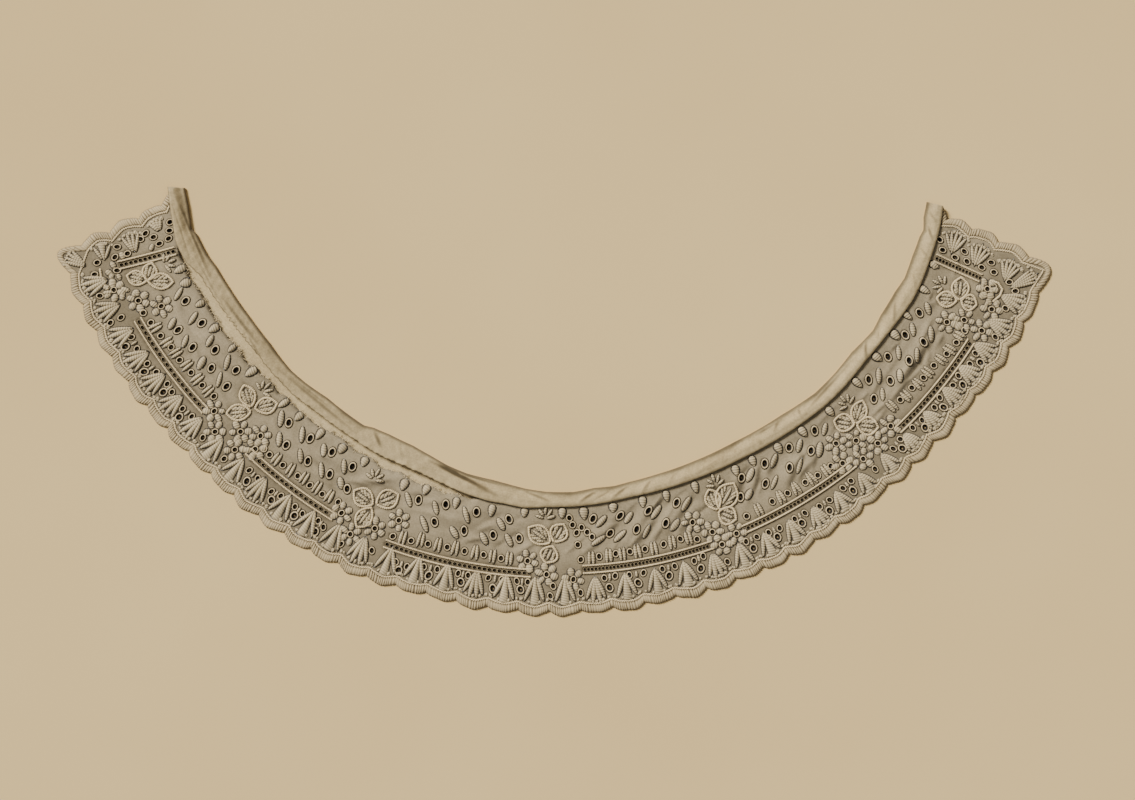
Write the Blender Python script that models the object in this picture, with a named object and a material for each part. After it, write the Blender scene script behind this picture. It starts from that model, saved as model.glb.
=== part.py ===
"""Linen collar laid flat: whitework panel with a scalloped edge, and a folded neckband."""
import math
import random

import bpy
from mathutils import Vector
from mathutils.geometry import delaunay_2d_cdt

for old in list(bpy.data.objects):
    bpy.data.objects.remove(old, do_unlink=True)

MM = 0.001

# The chart: rays in degrees from straight down, rings in steps from the centre of the neck
STEP = 0.375
CENTRE_X = 2.03
CENTRE_Y = 113.45

# Cloth, in millimetres
WALL = 1.0
SEAM_GAP = 0.3
TUCK = 6.5
LIFT_RUN = 20.0

# Raised work, in millimetres
RIM_RISE = 0.5
FAN_RISE = 0.75
LEAF_RISE = 0.65
CORD_RISE = 0.6
PETAL_RISE = 0.55
EYELET_SINK = 0.45

# Neckband: ray, ring of the fold at the neck, ring of the front leaf's edge
BAND = (
    (-77.0, 386.0, 401.0), (-74.0, 387.0, 404.0), (-72.0, 389.0, 406.0), (-70.5, 391.0, 408.0),
    (-69.5, 388.2, 409.0), (-67.5, 387.0, 408.5), (-66.0, 386.0, 406.5), (-64.0, 383.2, 400.5),
    (-60.0, 381.5, 398.0), (-55.0, 380.0, 396.2), (-50.0, 380.0, 395.2), (-47.0, 382.0, 397.0),
    (-45.0, 383.0, 397.2), (-42.0, 382.0, 398.0), (-38.0, 379.5, 396.5), (-34.0, 380.6, 397.0),
    (-31.0, 381.5, 397.5), (-29.5, 378.6, 398.3), (-27.0, 377.0, 399.0), (-23.0, 377.2, 398.3),
    (-20.0, 380.0, 399.2), (-17.0, 384.0, 402.0), (-14.0, 386.6, 405.0), (-10.0, 387.5, 408.0),
    (-8.0, 389.0, 408.0), (-5.0, 392.0, 410.0), (-2.0, 393.8, 408.0), (2.0, 394.0, 407.4),
    (5.0, 391.2, 406.5), (8.0, 391.5, 405.0), (10.0, 390.0, 404.0), (14.0, 388.5, 403.6),
    (20.0, 387.0, 403.0), (27.0, 385.5, 402.5), (35.0, 386.6, 404.0), (41.0, 390.0, 405.0),
    (45.0, 389.0, 404.0), (49.0, 387.0, 402.0), (53.5, 390.0, 402.4), (56.0, 387.5, 403.4),
    (60.0, 387.2, 405.4), (62.5, 389.0, 405.0), (66.0, 386.5, 403.0), (69.0, 385.8, 401.6),
    (70.2, 387.0, 401.0), (72.0, 383.0, 399.5), (74.3, 381.5, 397.0),
)

# The panel's raw edge where the seam has opened: ray, ring, share of the full lift above it
RAW = (
    (-69.4, 402.5, 1.0), (-68.3, 411.5, 1.0), (-66.0, 411.0, 0.3), (-64.0, 411.0, 0.0),
    (-62.0, 408.5, 0.0), (-59.0, 408.2, 0.0), (-56.0, 409.5, 0.0), (-52.0, 407.0, 0.0),
    (-50.0, 409.2, 0.0), (-47.5, 406.4, 0.0), (-45.5, 404.2, 0.0), (-44.0, 407.2, 0.0),
    (-42.5, 404.2, 0.0), (-40.0, 407.0, 0.0), (-38.0, 406.0, 0.0), (-36.2, 407.0, 0.0),
    (-34.5, 404.0, 0.0), (-32.3, 403.2, 0.0), (-30.0, 407.0, 0.0), (-28.0, 405.0, 0.0),
    (-25.5, 410.0, 0.0), (-23.0, 405.4, 0.0), (-20.5, 410.0, 0.0), (-18.4, 407.6, 0.0),
    (-16.4, 411.2, 0.1), (-14.8, 408.4, 0.6), (-12.6, 410.5, 1.0), (-11.2, 402.0, 1.0),
)

# Fans along the lower edge: number of the fan and its ray; the others are spaced evenly between
FANS = ((0, -68.3), (5, -51.8), (10, -34.2), (15, -17.0), (20, 0.6), (25, 18.5), (30, 35.0),
        (35, 52.9), (39, 65.9))

# Scallops of the two ends: ray and ring of each valley, and how far the next lobe stands out
LEFT_END = ((-75.6, 398.0, 3.0), (-74.1, 438.0, 6.5), (-73.4, 470.0, 6.0), (-73.0, 500.0, 18.5))
RIGHT_END = ((68.0, 516.0, 17.5), (71.4, 494.0, 5.5), (71.9, 461.0, 6.0), (72.4, 432.0, 4.0))
RIGHT_NECK = (73.3, 394.5)

# Trefoils: ray and ring of the middle, then the turn of the three lobes in degrees
TREFOILS = ((-66.2, 441.0, 18.0), (-46.3, 437.0, -4.0), (-25.2, 443.0, 8.0), (-1.7, 441.0, 0.0),
            (22.0, 437.0, 12.0), (43.1, 436.0, -8.0), (64.0, 441.0, 6.0))

# Florets: ray and ring of the eyelet in the middle
FLORETS = ((-64.4, 467.0), (-66.8, 485.0), (-47.9, 465.5), (-46.0, 479.0), (-43.8, 461.0),
           (-41.6, 450.5), (-42.8, 478.0), (-27.8, 468.0), (-25.7, 483.0), (-23.3, 467.5),
           (-20.9, 451.0), (-4.0, 463.0), (-1.6, 475.5), (1.6, 480.5), (17.4, 443.5), (19.4, 459.0),
           (20.0, 474.0), (22.1, 469.0), (38.7, 441.5), (40.1, 470.5), (42.7, 468.5), (45.3, 465.0),
           (60.0, 446.5), (61.3, 460.5), (61.2, 481.0), (64.0, 480.0), (66.0, 467.5))

# Ladders: first ray and ring, last ray and ring
LADDERS = ((-62.4, 476.0, -48.6, 472.0), (-41.5, 470.0, -28.4, 475.0), (-21.5, 477.5, -3.4, 475.0),
           (2.8, 471.0, 18.9, 471.0), (22.9, 468.0, 38.8, 468.0), (45.6, 473.0, 59.4, 477.0),
           (-68.4, 413.0, -69.3, 471.0), (67.0, 407.0, 66.9, 458.0))

# Runs of leaves: first ray and ring, last ray and ring, how many, lean, length, width
RUNS = (
    (-63.8, 417.0, -48.4, 413.0, 5, 0, 9.0, 7.0), (-42.2, 411.5, -28.3, 412.0, 5, 0, 9.0, 7.0),
    (-18.9, 413.0, -4.9, 416.0, 4, 0, 9.0, 7.0), (3.3, 415.0, 19.2, 411.5, 5, 0, 9.0, 7.0),
    (25.3, 411.0, 40.8, 413.0, 5, 0, 9.0, 7.0), (46.3, 411.5, 58.0, 410.0, 4, 0, 8.0, 7.0),
    (-62.5, 428.0, -51.3, 424.0, 4, -38, 15.0, 5.0), (-40.8, 424.0, -30.0, 425.0, 4, -34, 14.0, 5.0),
    (-20.3, 428.0, -7.6, 428.0, 4, -36, 16.0, 5.0), (5.3, 424.0, 17.0, 424.0, 4, 52, 17.0, 4.5),
    (26.4, 421.0, 38.4, 423.0, 4, 48, 16.0, 4.5), (48.7, 422.0, 60.0, 423.0, 4, 52, 15.0, 4.5),
    (-59.6, 447.5, -49.8, 441.5, 4, -40, 14.0, 4.5), (-39.1, 441.5, -29.3, 441.0, 4, -36, 14.0, 5.0),
    (-17.4, 446.0, -6.1, 444.0, 4, -34, 14.0, 5.0), (5.0, 443.0, 14.7, 441.0, 4, 44, 16.0, 4.5),
    (25.3, 438.0, 36.1, 436.0, 4, 38, 16.0, 4.5), (47.2, 437.0, 57.3, 439.0, 4, 44, 15.0, 4.5),
    (-60.5, 464.0, -50.3, 457.0, 6, 0, 13.0, 6.5), (-38.2, 458.0, -30.1, 459.0, 5, 0, 13.0, 6.5),
    (-19.7, 465.0, -6.3, 462.0, 7, 0, 13.0, 6.5), (3.9, 460.0, 16.3, 457.0, 7, 0, 13.0, 6.5),
    (25.8, 456.0, 35.6, 456.0, 5, 0, 13.0, 6.5), (47.2, 452.5, 59.3, 464.0, 7, 0, 13.0, 6.5),
)

# Runs of eyelets: first ray and ring, last ray and ring, how many
EYELETS = (
    (-61.6, 425.0, -50.0, 422.5, 4), (-39.9, 422.0, -29.4, 422.0, 4), (-19.4, 425.0, -6.9, 422.0, 4),
    (4.5, 421.0, 16.1, 420.0, 4), (25.6, 420.0, 37.5, 418.0, 4), (47.7, 417.0, 59.2, 418.0, 4),
    (-62.5, 449.0, -49.2, 440.0, 5), (-38.3, 441.0, -28.5, 443.0, 4), (-16.5, 441.0, -5.3, 441.0, 4),
    (6.6, 437.0, 14.0, 437.0, 3), (24.4, 437.0, 35.5, 432.5, 4), (46.3, 434.0, 56.2, 437.0, 4),
    (-70.4, 426.0, -71.8, 436.0, 2), (-70.4, 441.0, -71.5, 466.5, 2), (69.4, 404.5, 68.3, 411.0, 2),
    (68.2, 426.0, 68.2, 436.0, 2), (68.2, 454.0, 68.2, 467.0, 2), (-72.4, 408.5, -70.3, 415.0, 3),
)

# Leaves of the two ends, fanned towards the scallops: ray and ring of the foot, mean turn
END_FANS = ((-70.6, 424.0, -80.0), (-70.9, 453.0, -86.0), (-70.9, 482.0, -78.0),
            (-70.2, 497.0, -42.0), (69.4, 421.0, 84.0), (69.3, 447.0, 88.0),
            (69.0, 475.0, 78.0), (68.1, 492.0, 44.0))

# Soft folds of the ground: two ends as ray and ring, height and half width in millimetres
FOLDS = (
    (-61.0, 434.0, -49.0, 430.0, 0.7, 3.2), (-38.0, 434.0, -28.0, 430.0, 0.6, 3.0),
    (-18.0, 438.0, -5.0, 432.0, 0.8, 3.2), (-13.5, 428.0, -9.5, 413.0, 0.7, 2.6),
    (4.6, 432.0, 8.6, 413.0, 0.7, 2.6), (8.4, 447.0, 14.0, 412.0, 1.0, 2.8),
    (13.0, 447.0, 18.2, 416.0, 0.8, 2.6), (24.0, 432.0, 25.0, 412.0, 0.8, 2.6),
    (30.0, 446.0, 34.6, 426.0, 0.8, 2.8), (47.5, 447.0, 60.0, 431.0, 0.7, 3.0),
)

# Creases of the front leaf: two ends as ray and ring, height and half width in millimetres
CREASES = (
    (-76.0, 397.0, -63.0, 393.0, 0.35, 1.3), (-60.0, 392.0, -50.5, 389.0, 0.35, 1.4),
    (-47.0, 391.0, -31.0, 392.0, 0.3, 1.4), (-29.0, 383.0, -27.0, 391.0, 0.4, 1.6),
    (-19.0, 386.0, -9.0, 401.0, 0.45, 1.8), (3.0, 402.0, 5.5, 395.0, 0.4, 1.2),
    (7.5, 401.0, 10.0, 394.0, 0.35, 1.2), (12.0, 400.0, 14.0, 393.0, 0.3, 1.2),
    (37.0, 399.0, 49.0, 392.0, 0.3, 1.5), (50.0, 399.0, 52.0, 392.0, 0.4, 1.2),
    (56.0, 400.0, 59.0, 392.0, 0.3, 1.3), (69.0, 397.0, 71.0, 390.0, 0.35, 1.3),
)

SHAKE = random.Random(41)


def smooth(t):
    """Eases from nought to one."""
    t = min(1.0, max(0.0, t))
    return t * t * (3.0 - 2.0 * t)


def lookup(table, key, column):
    """Reads a column of a table, in straight runs between its rows."""
    if key <= table[0][0]:
        return table[0][column]
    for low, high in zip(table, table[1:]):
        if key <= high[0]:
            share = (key - low[0]) / (high[0] - low[0])
            return low[column] + (high[column] - low[column]) * share
    return table[-1][column]


def plan(ray, ring):
    """Turns a ray and ring of the chart into x and y in millimetres."""
    angle = math.radians(ray)
    reach = ring * STEP
    return (CENTRE_X + reach * math.sin(angle), CENTRE_Y - reach * math.cos(angle))


def chart(x, y):
    """Turns x and y in millimetres into a ray and ring of the chart."""
    across = x - CENTRE_X
    down = CENTRE_Y - y
    return (math.degrees(math.atan2(across, down)), math.hypot(across, down) / STEP)


def fold_ring(ray):
    """Ring of the neckband's fold."""
    return lookup(BAND, ray, 1)


def front_ring(ray):
    """Ring of the front leaf's lower edge."""
    return lookup(BAND, ray, 2)


def is_open(ray):
    """Whether the front leaf has come away from the panel here."""
    return RAW[0][0] <= ray <= RAW[-1][0]


def neck_ring(ray):
    """Ring of the panel's neck edge, tucked into the fold or bare."""
    if is_open(ray):
        return lookup(RAW, ray, 1)
    return front_ring(ray) - TUCK


def back_ring(ray):
    """Ring of the back leaf's edge, which still holds the panel where the front has opened."""
    if is_open(ray):
        return max(front_ring(ray) - 1.0, lookup(RAW, ray, 1) + 3.0)
    return front_ring(ray) - 1.0


def raise_share(ray):
    """How much of the panel's thickness the front leaf is lifted by."""
    if is_open(ray):
        return lookup(RAW, ray, 2)
    return 1.0


def bumps(rows, x, y):
    """Height of a table of soft creases at a point."""
    total = 0.0
    for ray_a, ring_a, ray_b, ring_b, height, half in rows:
        ax, ay = plan(ray_a, ring_a)
        bx, by = plan(ray_b, ring_b)
        span = math.hypot(bx - ax, by - ay)
        along = ((x - ax) * (bx - ax) + (y - ay) * (by - ay)) / (span * span)
        near = min(1.0, max(0.0, along))
        away = math.hypot(x - ax - (bx - ax) * near, y - ay - (by - ay) * near)
        total += height * math.exp(-(away / half) ** 2) * math.sin(math.pi * (0.15 + 0.7 * near))
    return total


def lift(x, y):
    """Height of the panel's underside: nothing where it rests, up over the back leaf."""
    ray, ring = chart(x, y)
    start = back_ring(ray) + 3.5
    return (WALL + SEAM_GAP) * (1.0 - smooth((ring - start) / LIFT_RUN))


def ground(x, y):
    """Height of the panel's plain top."""
    ray, ring = chart(x, y)
    clear = smooth((ring - front_ring(ray) - 4.0) / 12.0)
    return lift(x, y) + WALL + clear * bumps(FOLDS, x, y)


def relief(x, y, height):
    """Height of raised work, which dies away beside the neckband."""
    ray, ring = chart(x, y)
    return height * smooth((ring - bare_ring(ray) - 0.5) / 3.0)


def fan_rays():
    """Rays of all the fans on the lower edge."""
    return [lookup(FANS, number, 1) for number in range(FANS[-1][0] + 1)]


def valley_ring(ray):
    """Ring of the lower edge's valleys, a little further out towards the ends."""
    if ray < 0.0:
        return 511.5 + 0.42 * max(0.0, -ray - 50.0)
    return 511.5 + 0.32 * max(0.0, ray - 54.0)


def edge_scallops():
    """Valleys of the whole scalloped edge in order, as x, y and the lobe that follows."""
    rays = fan_rays()
    rows = [(*plan(ray, ring), bulge) for ray, ring, bulge in LEFT_END]
    rows.append((*plan(-70.3, 519.5), 5.6))
    for left, right in zip(rays, rays[1:]):
        middle = 0.5 * (left + right)
        rows.append((*plan(middle, valley_ring(middle)), 5.6 + SHAKE.uniform(-0.7, 0.9)))
    rows += [(*plan(ray, ring), bulge) for ray, ring, bulge in RIGHT_END]
    rows.append((*plan(*RIGHT_NECK), 0.0))
    return rows


def edge_chain(rows, depth, share, samples):
    """A line along the scallops, set in by a depth in millimetres, its lobes scaled."""
    normals = []
    for (ax, ay, _), (bx, by, _) in zip(rows, rows[1:]):
        span = math.hypot(bx - ax, by - ay)
        normals.append(((by - ay) / span, -(bx - ax) / span))
    chain = []
    for number, ((ax, ay, bulge), (bx, by, _)) in enumerate(zip(rows, rows[1:])):
        before = normals[max(0, number - 1)]
        here = normals[number]
        after = normals[min(len(normals) - 1, number + 1)]
        count = samples * 2 if bulge > 10.0 else samples
        for step in range(count):
            t = step / count
            low = [0.5 * (before[axis] + here[axis]) for axis in (0, 1)]
            high = [0.5 * (here[axis] + after[axis]) for axis in (0, 1)]
            mean = [low[axis] + (high[axis] - low[axis]) * t for axis in (0, 1)]
            size = math.hypot(*mean)
            lobe = bulge * share * STEP * math.sin(math.pi * t) ** 0.75
            x = ax + (bx - ax) * t + here[0] * lobe - mean[0] / size * depth
            y = ay + (by - ay) * t + here[1] * lobe - mean[1] / size * depth
            chain.append((x, y))
    chain.append((rows[-1][0] - mean[0] / size * depth, rows[-1][1] - mean[1] / size * depth))
    return chain


def bare_ring(ray):
    """Ring where the panel comes clear of the neckband, or its raw edge where that is bare."""
    return max(front_ring(ray), neck_ring(ray))


def neck_chain(start, shift, step):
    """A line along the neck from right to left, a number of rings outside a starting ring."""
    left = LEFT_END[0][0]
    right = RIGHT_NECK[0]
    count = int((right - left) / step)
    rays = [right + (left - right) * number / count for number in range(1, count)]
    return [plan(ray, start(ray) + shift) for ray in rays]


class Sheet:
    """Points with their own extra height and the lines that join them, ready to triangulate."""

    def __init__(self, outline):
        self.points = []
        self.extra = []
        self.edges = []
        self.outline = self.chain(outline, [0.0] * len(outline), True)

    def chain(self, points, heights, closed=False):
        """Adds a line of points."""
        first = len(self.points)
        numbers = list(range(first, first + len(points)))
        self.points += [Vector(point) for point in points]
        self.extra += heights
        self.edges += list(zip(numbers, numbers[1:]))
        if closed:
            self.edges.append((numbers[-1], numbers[0]))
        return numbers

    def scatter(self, points, clear):
        """Adds loose points that are not close to any other."""
        cells = {}
        for point in self.points:
            cells.setdefault((int(point.x // clear), int(point.y // clear)), []).append(point)
        for x, y in points:
            column, row = int(x // clear), int(y // clear)
            near = [point for i in (-1, 0, 1) for j in (-1, 0, 1)
                    for point in cells.get((column + i, row + j), [])]
            if all(math.hypot(point.x - x, point.y - y) > clear for point in near):
                self.points.append(Vector((x, y)))
                self.extra.append(0.0)

    def triangulate(self, height):
        """Returns the corners in 3-D and the triangles; the outline keeps its own corners."""
        out = delaunay_2d_cdt(self.points, self.edges, [self.outline], 1, 0.02)
        corners = []
        for point, origin in zip(out[0], out[3]):
            extra = max((self.extra[number] for number in origin), default=0.25)
            corners.append((point.x, point.y, height(point.x, point.y, extra)))
        place = {}
        for number, origin in enumerate(out[3]):
            for source in origin:
                place[source] = number
        return corners, [list(face) for face in out[2]], [place[number] for number in self.outline]


def inside(polygon, x, y):
    """Whether a point is within a closed line."""
    hit = False
    for (ax, ay), (bx, by) in zip(polygon, polygon[1:] + polygon[:1]):
        if (ay > y) != (by > y) and x < (bx - ax) * (y - ay) / (by - ay) + ax:
            hit = not hit
    return hit


class Motifs:
    """Adds the raised work to a sheet, kept within a limit line."""

    def __init__(self, sheet, limit):
        self.sheet = sheet
        self.limit = limit

    def place(self, ray, ring, turn, shape):
        """Turns points of a motif, in steps, about its middle; pulls them inside the limit."""
        cx, cy = plan(ray, ring)
        swing = math.radians(ray + turn)
        points = []
        for across, along in shape:
            x = across * math.cos(swing) - along * math.sin(-swing)
            y = across * math.sin(swing) - along * math.cos(swing)
            px, py = cx + x * STEP, cy + y * STEP
            for _ in range(12):
                if inside(self.limit, px, py):
                    break
                px, py = px + (cx - px) * 0.15, py + (cy - py) * 0.15
            points.append((px, py))
        return points

    def line(self, points, height, closed=False):
        """Adds a line of one height."""
        return self.sheet.chain(points, [height] * len(points), closed)

    def leaf(self, ray, ring, turn, length, width, rise=LEAF_RISE):
        """A padded leaf with a sharp ridge."""
        half = 0.5 * length
        side = 0.5 * width
        shape = ((0, -half), (side, -0.35 * half), (side, 0.35 * half), (0, half),
                 (-side, 0.35 * half), (-side, -0.35 * half))
        self.line(self.place(ray, ring, turn, shape), 0.0, True)
        crest = ((0, -0.5 * half), (0, 0.5 * half))
        self.line(self.place(ray, ring, turn, crest), rise)

    def eyelet(self, ray, ring, radius=3.2):
        """A small sunk eyelet."""
        shape = [(radius * math.cos(math.pi * n / 2), radius * math.sin(math.pi * n / 2))
                 for n in range(4)]
        self.line(self.place(ray, ring, 0.0, shape), 0.0, True)
        self.line(self.place(ray, ring, 0.0, ((0, 0),)), -EYELET_SINK)

    def floret(self, ray, ring):
        """Six round petals about an eyelet."""
        outer = []
        crest = []
        for number in range(12):
            angle = math.pi * number / 6
            reach = 9.0 if number % 2 else 6.4
            outer.append((reach * math.cos(angle), reach * math.sin(angle)))
            if number % 2:
                crest.append((6.2 * math.cos(angle), 6.2 * math.sin(angle)))
        self.line(self.place(ray, ring, 0.0, outer), 0.0, True)
        self.line(self.place(ray, ring, 0.0, crest), PETAL_RISE)
        self.line(self.place(ray, ring, 0.0, ((0, 0),)), -EYELET_SINK)

    def lobe(self, ray, ring, turn, reach, width):
        """One corded lobe of a trefoil, foot at the middle."""
        profile = ((0.0, 0.06), (0.38, 0.34), (0.5, 0.64), (0.27, 0.88), (0.0, 1.0),
                   (-0.27, 0.88), (-0.5, 0.64), (-0.38, 0.34))
        for scale, height in ((1.0, 0.0), (0.84, CORD_RISE), (0.62, 0.1)):
            shape = [(across * width * scale, (0.55 + (along - 0.55) * scale) * reach)
                     for across, along in profile]
            self.line(self.place(ray, ring, turn, shape), height, True)
        self.line(self.place(ray, ring, turn, ((0, 0.42 * reach), (0, 0.7 * reach))), 0.45)

    def trefoil(self, ray, ring, turn):
        """Three corded lobes."""
        for side in (-118, 0, 118):
            self.lobe(ray, ring, turn + side, 24.0, 21.0)

    def fan(self, ray, ring, turn, reach, spread):
        """Four padded leaves that share a foot."""
        tips = (-1.0, -0.36, 0.36, 1.0)
        for tip in tips:
            swing = math.radians(tip * spread)
            long = reach * (0.92 if abs(tip) < 0.5 else 0.84)
            mid = 0.6 * long
            side = 1.7
            shape = ((1.2 * math.sin(swing), 2.5),
                     (mid * math.sin(swing) + side, mid * math.cos(swing)),
                     (long * math.sin(swing), long * math.cos(swing)),
                     (mid * math.sin(swing) - side, mid * math.cos(swing)))
            self.line(self.place(ray, ring, turn, shape), 0.05, True)
            crest = ((mid * math.sin(swing), mid * math.cos(swing)),
                     (0.82 * long * math.sin(swing), 0.82 * long * math.cos(swing)))
            self.line(self.place(ray, ring, turn, crest), FAN_RISE)

    def ladder(self, ray_a, ring_a, ray_b, ring_b):
        """Two twisted cords with a line of slots between."""
        span = math.hypot((ray_b - ray_a) * 0.01745 * ring_a, ring_b - ring_a)
        count = max(6, int(span / 13.0))
        upright = abs(ring_b - ring_a) > 20.0
        for offset, height in ((-6.0, 0.0), (-3.9, CORD_RISE), (0.0, 0.0), (3.9, CORD_RISE), (6.0, 0.0)):
            points = []
            for number in range(count + 1):
                t = number / count
                ray = ray_a + (ray_b - ray_a) * t
                ring = ring_a + (ring_b - ring_a) * t
                if upright:
                    points.append(plan(ray + math.degrees(offset / ring), ring))
                else:
                    points.append(plan(ray, ring + offset))
            self.line(points, height)


def chart_motifs(motifs):
    """Puts every motif of the chart in its place."""
    for row in LADDERS:
        motifs.ladder(*row)
    for ray_a, ring_a, ray_b, ring_b, count, lean, length, width in RUNS:
        for number in range(count):
            t = number / (count - 1)
            ray = ray_a + (ray_b - ray_a) * t
            ring = ring_a + (ring_b - ring_a) * t
            motifs.leaf(ray, ring, -lean, length, width)
    for ray_a, ring_a, ray_b, ring_b, count in EYELETS:
        for number in range(count):
            t = number / (count - 1)
            motifs.eyelet(ray_a + (ray_b - ray_a) * t, ring_a + (ring_b - ring_a) * t)
    for ray, ring, turn in TREFOILS:
        motifs.trefoil(ray, ring, turn)
    for ray, ring in FLORETS:
        motifs.floret(ray, ring)
    rays = fan_rays()
    for ray in rays:
        motifs.fan(ray, valley_ring(ray) - 33.5, 0.0, 27.0, 23.0)
    for left, right in zip(rays, rays[1:]):
        middle = 0.5 * (left + right)
        ring = valley_ring(middle)
        motifs.eyelet(middle, ring - 21.0, 3.6)
        motifs.eyelet(middle - 0.72, ring - 30.5, 2.8)
        motifs.eyelet(middle + 0.72, ring - 30.5, 2.8)
    for ray, ring, turn in END_FANS:
        motifs.fan(ray, ring, turn, 25.0, 26.0)


def grid(limit, rise_from, rise_to, pitch):
    """Loose points over the panel, in rings."""
    points = []
    ring = rise_from
    row = 0
    while ring < rise_to:
        step = math.degrees(pitch / ring)
        ray = -75.0 + 0.5 * step * (row % 2)
        while ray < 74.0:
            x, y = plan(ray, ring)
            if inside(limit, x, y):
                points.append((x, y))
            ray += step
        ring += 0.87 * pitch
        row += 1
    return points


def build_panel():
    """The embroidered panel, raised on top and plain beneath."""
    rows = edge_scallops()
    outer = edge_chain(rows, 0.0, 1.0, 5)
    neck = neck_chain(neck_ring, 0.0, 1.3)
    outline = outer + neck
    crest = edge_chain(rows, 1.7, 0.85, 4)[1:-1]
    inner = edge_chain(rows, 3.2, 0.6, 3)[1:-1]
    neck_in = neck_chain(neck_ring, 9.5, 3.3)
    limit = edge_chain(rows, 3.6, 0.5, 4)[1:-1] + neck_chain(bare_ring, 2.0, 1.15)
    limit = [point for point in limit if inside(outline, *point)]

    top = Sheet(outline)
    for line, rise in ((crest, RIM_RISE), (inner, 0.0), (neck_in, 0.0)):
        kept = [point for point in line if inside(outline, *point)]
        top.chain(kept, [rise] * len(kept))
    chart_motifs(Motifs(top, limit))
    top.scatter(grid(limit, 406.0, 505.0, 18.5), 3.6)
    upper, roofs, rim_top = top.triangulate(
        lambda x, y, extra: ground(x, y) + relief(x, y, extra))

    base = Sheet(outline)
    base.chain(neck_in, [0.0] * len(neck_in))
    base.scatter(grid(limit, 412.0, 500.0, 28.0), 6.0)
    lower, floors, rim_base = base.triangulate(lambda x, y, extra: lift(x, y))

    shift = len(upper)
    corners = upper + lower
    faces = roofs + [[number + shift for number in reversed(face)] for face in floors]
    count = len(rim_top)
    for number in range(count):
        after = (number + 1) % count
        a, b = rim_top[number], rim_top[after]
        c, d = rim_base[after] + shift, rim_base[number] + shift
        faces.append([a, d, c])
        faces.append([a, c, b])
    return corners, faces


def build_neckband():
    """The folded strip: back leaf on the table, round fold at the neck, front leaf on top."""
    rays = []
    ray = BAND[0][0]
    while ray < BAND[-1][0]:
        rays.append(ray)
        ray += 0.6 if -57.5 < ray < -51.5 else 1.05
    rays.append(BAND[-1][0])
    ragged = random.Random(7)
    corners = []
    for ray in rays:
        inner = fold_ring(ray)
        front = front_ring(ray)
        if -57.5 < ray < -51.5:
            front += ragged.uniform(-1.4, 0.8)
        back = back_ring(ray)
        tall = 2.0 * WALL + SEAM_GAP + raise_share(ray) * (WALL + SEAM_GAP)
        turn = 0.5 * tall
        start = inner + turn / STEP
        section = [(back, 0.0, 0), (0.5 * (back + start), 0.0, 0)]
        for number in range(5):
            angle = math.pi * number / 4
            section.append((start - turn / STEP * math.sin(angle), turn * (1 - math.cos(angle)), 0))
        spread = [start + (front - start) * share for share in (0.33, 0.66)]
        section += [(ring, tall, 1) for ring in spread]
        section += [(front, tall, 1), (front, tall - WALL, 1)]
        section += [(ring, tall - WALL, 1) for ring in reversed(spread)]
        for number in range(3):
            angle = math.pi * (1 - number / 2)
            reach = (turn - WALL) / STEP
            section.append((start - reach * math.sin(angle),
                            turn - (turn - WALL) * math.cos(angle), 0))
        section += [(0.5 * (back + start), WALL, 0), (back, WALL, 0)]
        slant = 0.7 * smooth((-72.0 - ray) / 5.0)
        for ring, z, free in section:
            x, y = plan(ray + slant * (386.0 + 8.0 - ring) / 16.0, ring)
            corners.append((x, y, z + (bumps(CREASES, x, y) if free else 0.0)))
    size = len(corners) // len(rays)
    faces = []
    for column in range(len(rays) - 1):
        for number in range(size):
            after = (number + 1) % size
            a = column * size + number
            b = column * size + after
            faces.append([a, b, b + size, a + size])
    last = (len(rays) - 1) * size
    strips = []
    for number in range(size // 2 - 1):
        strips.append((number, number + 1, size - 2 - number, size - 1 - number))
    for a, b, c, d in strips:
        faces.append([a, d, c, b])
        faces.append([last + a, last + b, last + c, last + d])
    return corners, faces


def make_material(name, colour, roughness):
    """A plain cloth material."""
    material = bpy.data.materials.new(name)
    material.use_nodes = True
    shader = material.node_tree.nodes["Principled BSDF"]
    shader.inputs["Base Color"].default_value = (*colour, 1.0)
    shader.inputs["Roughness"].default_value = roughness
    material.diffuse_color = (*colour, 1.0)
    return material


def add_node(group, name, made, material):
    """Adds one solid to the collection, in metres."""
    corners, faces = made
    mesh = bpy.data.meshes.new(name)
    mesh.from_pydata([(x * MM, y * MM, z * MM) for x, y, z in corners], [], faces)
    mesh.validate()
    mesh.update()
    mesh.materials.append(material)
    solid = bpy.data.objects.new(name, mesh)
    group.objects.link(solid)
    return solid


def main():
    """Builds the collar."""
    group = bpy.data.collections.new("linen_collar")
    bpy.context.scene.collection.children.link(group)
    linen = make_material("ecru_linen", (0.47, 0.41, 0.30), 0.88)
    band = make_material("band_linen", (0.58, 0.51, 0.38), 0.86)
    add_node(group, "collar_panel", build_panel(), linen)
    add_node(group, "neckband", build_neckband(), band)


main()
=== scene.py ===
"""Dresses the linen collar: whitework panel, scalloped rim and folded neckband, laid flat."""
import logging
import math
import random
from dataclasses import dataclass, field
from enum import Enum
from typing import Callable, Sequence

import bmesh
import bpy
import numpy as np
from mathutils import Matrix, Vector
from mathutils.geometry import delaunay_2d_cdt


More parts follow.
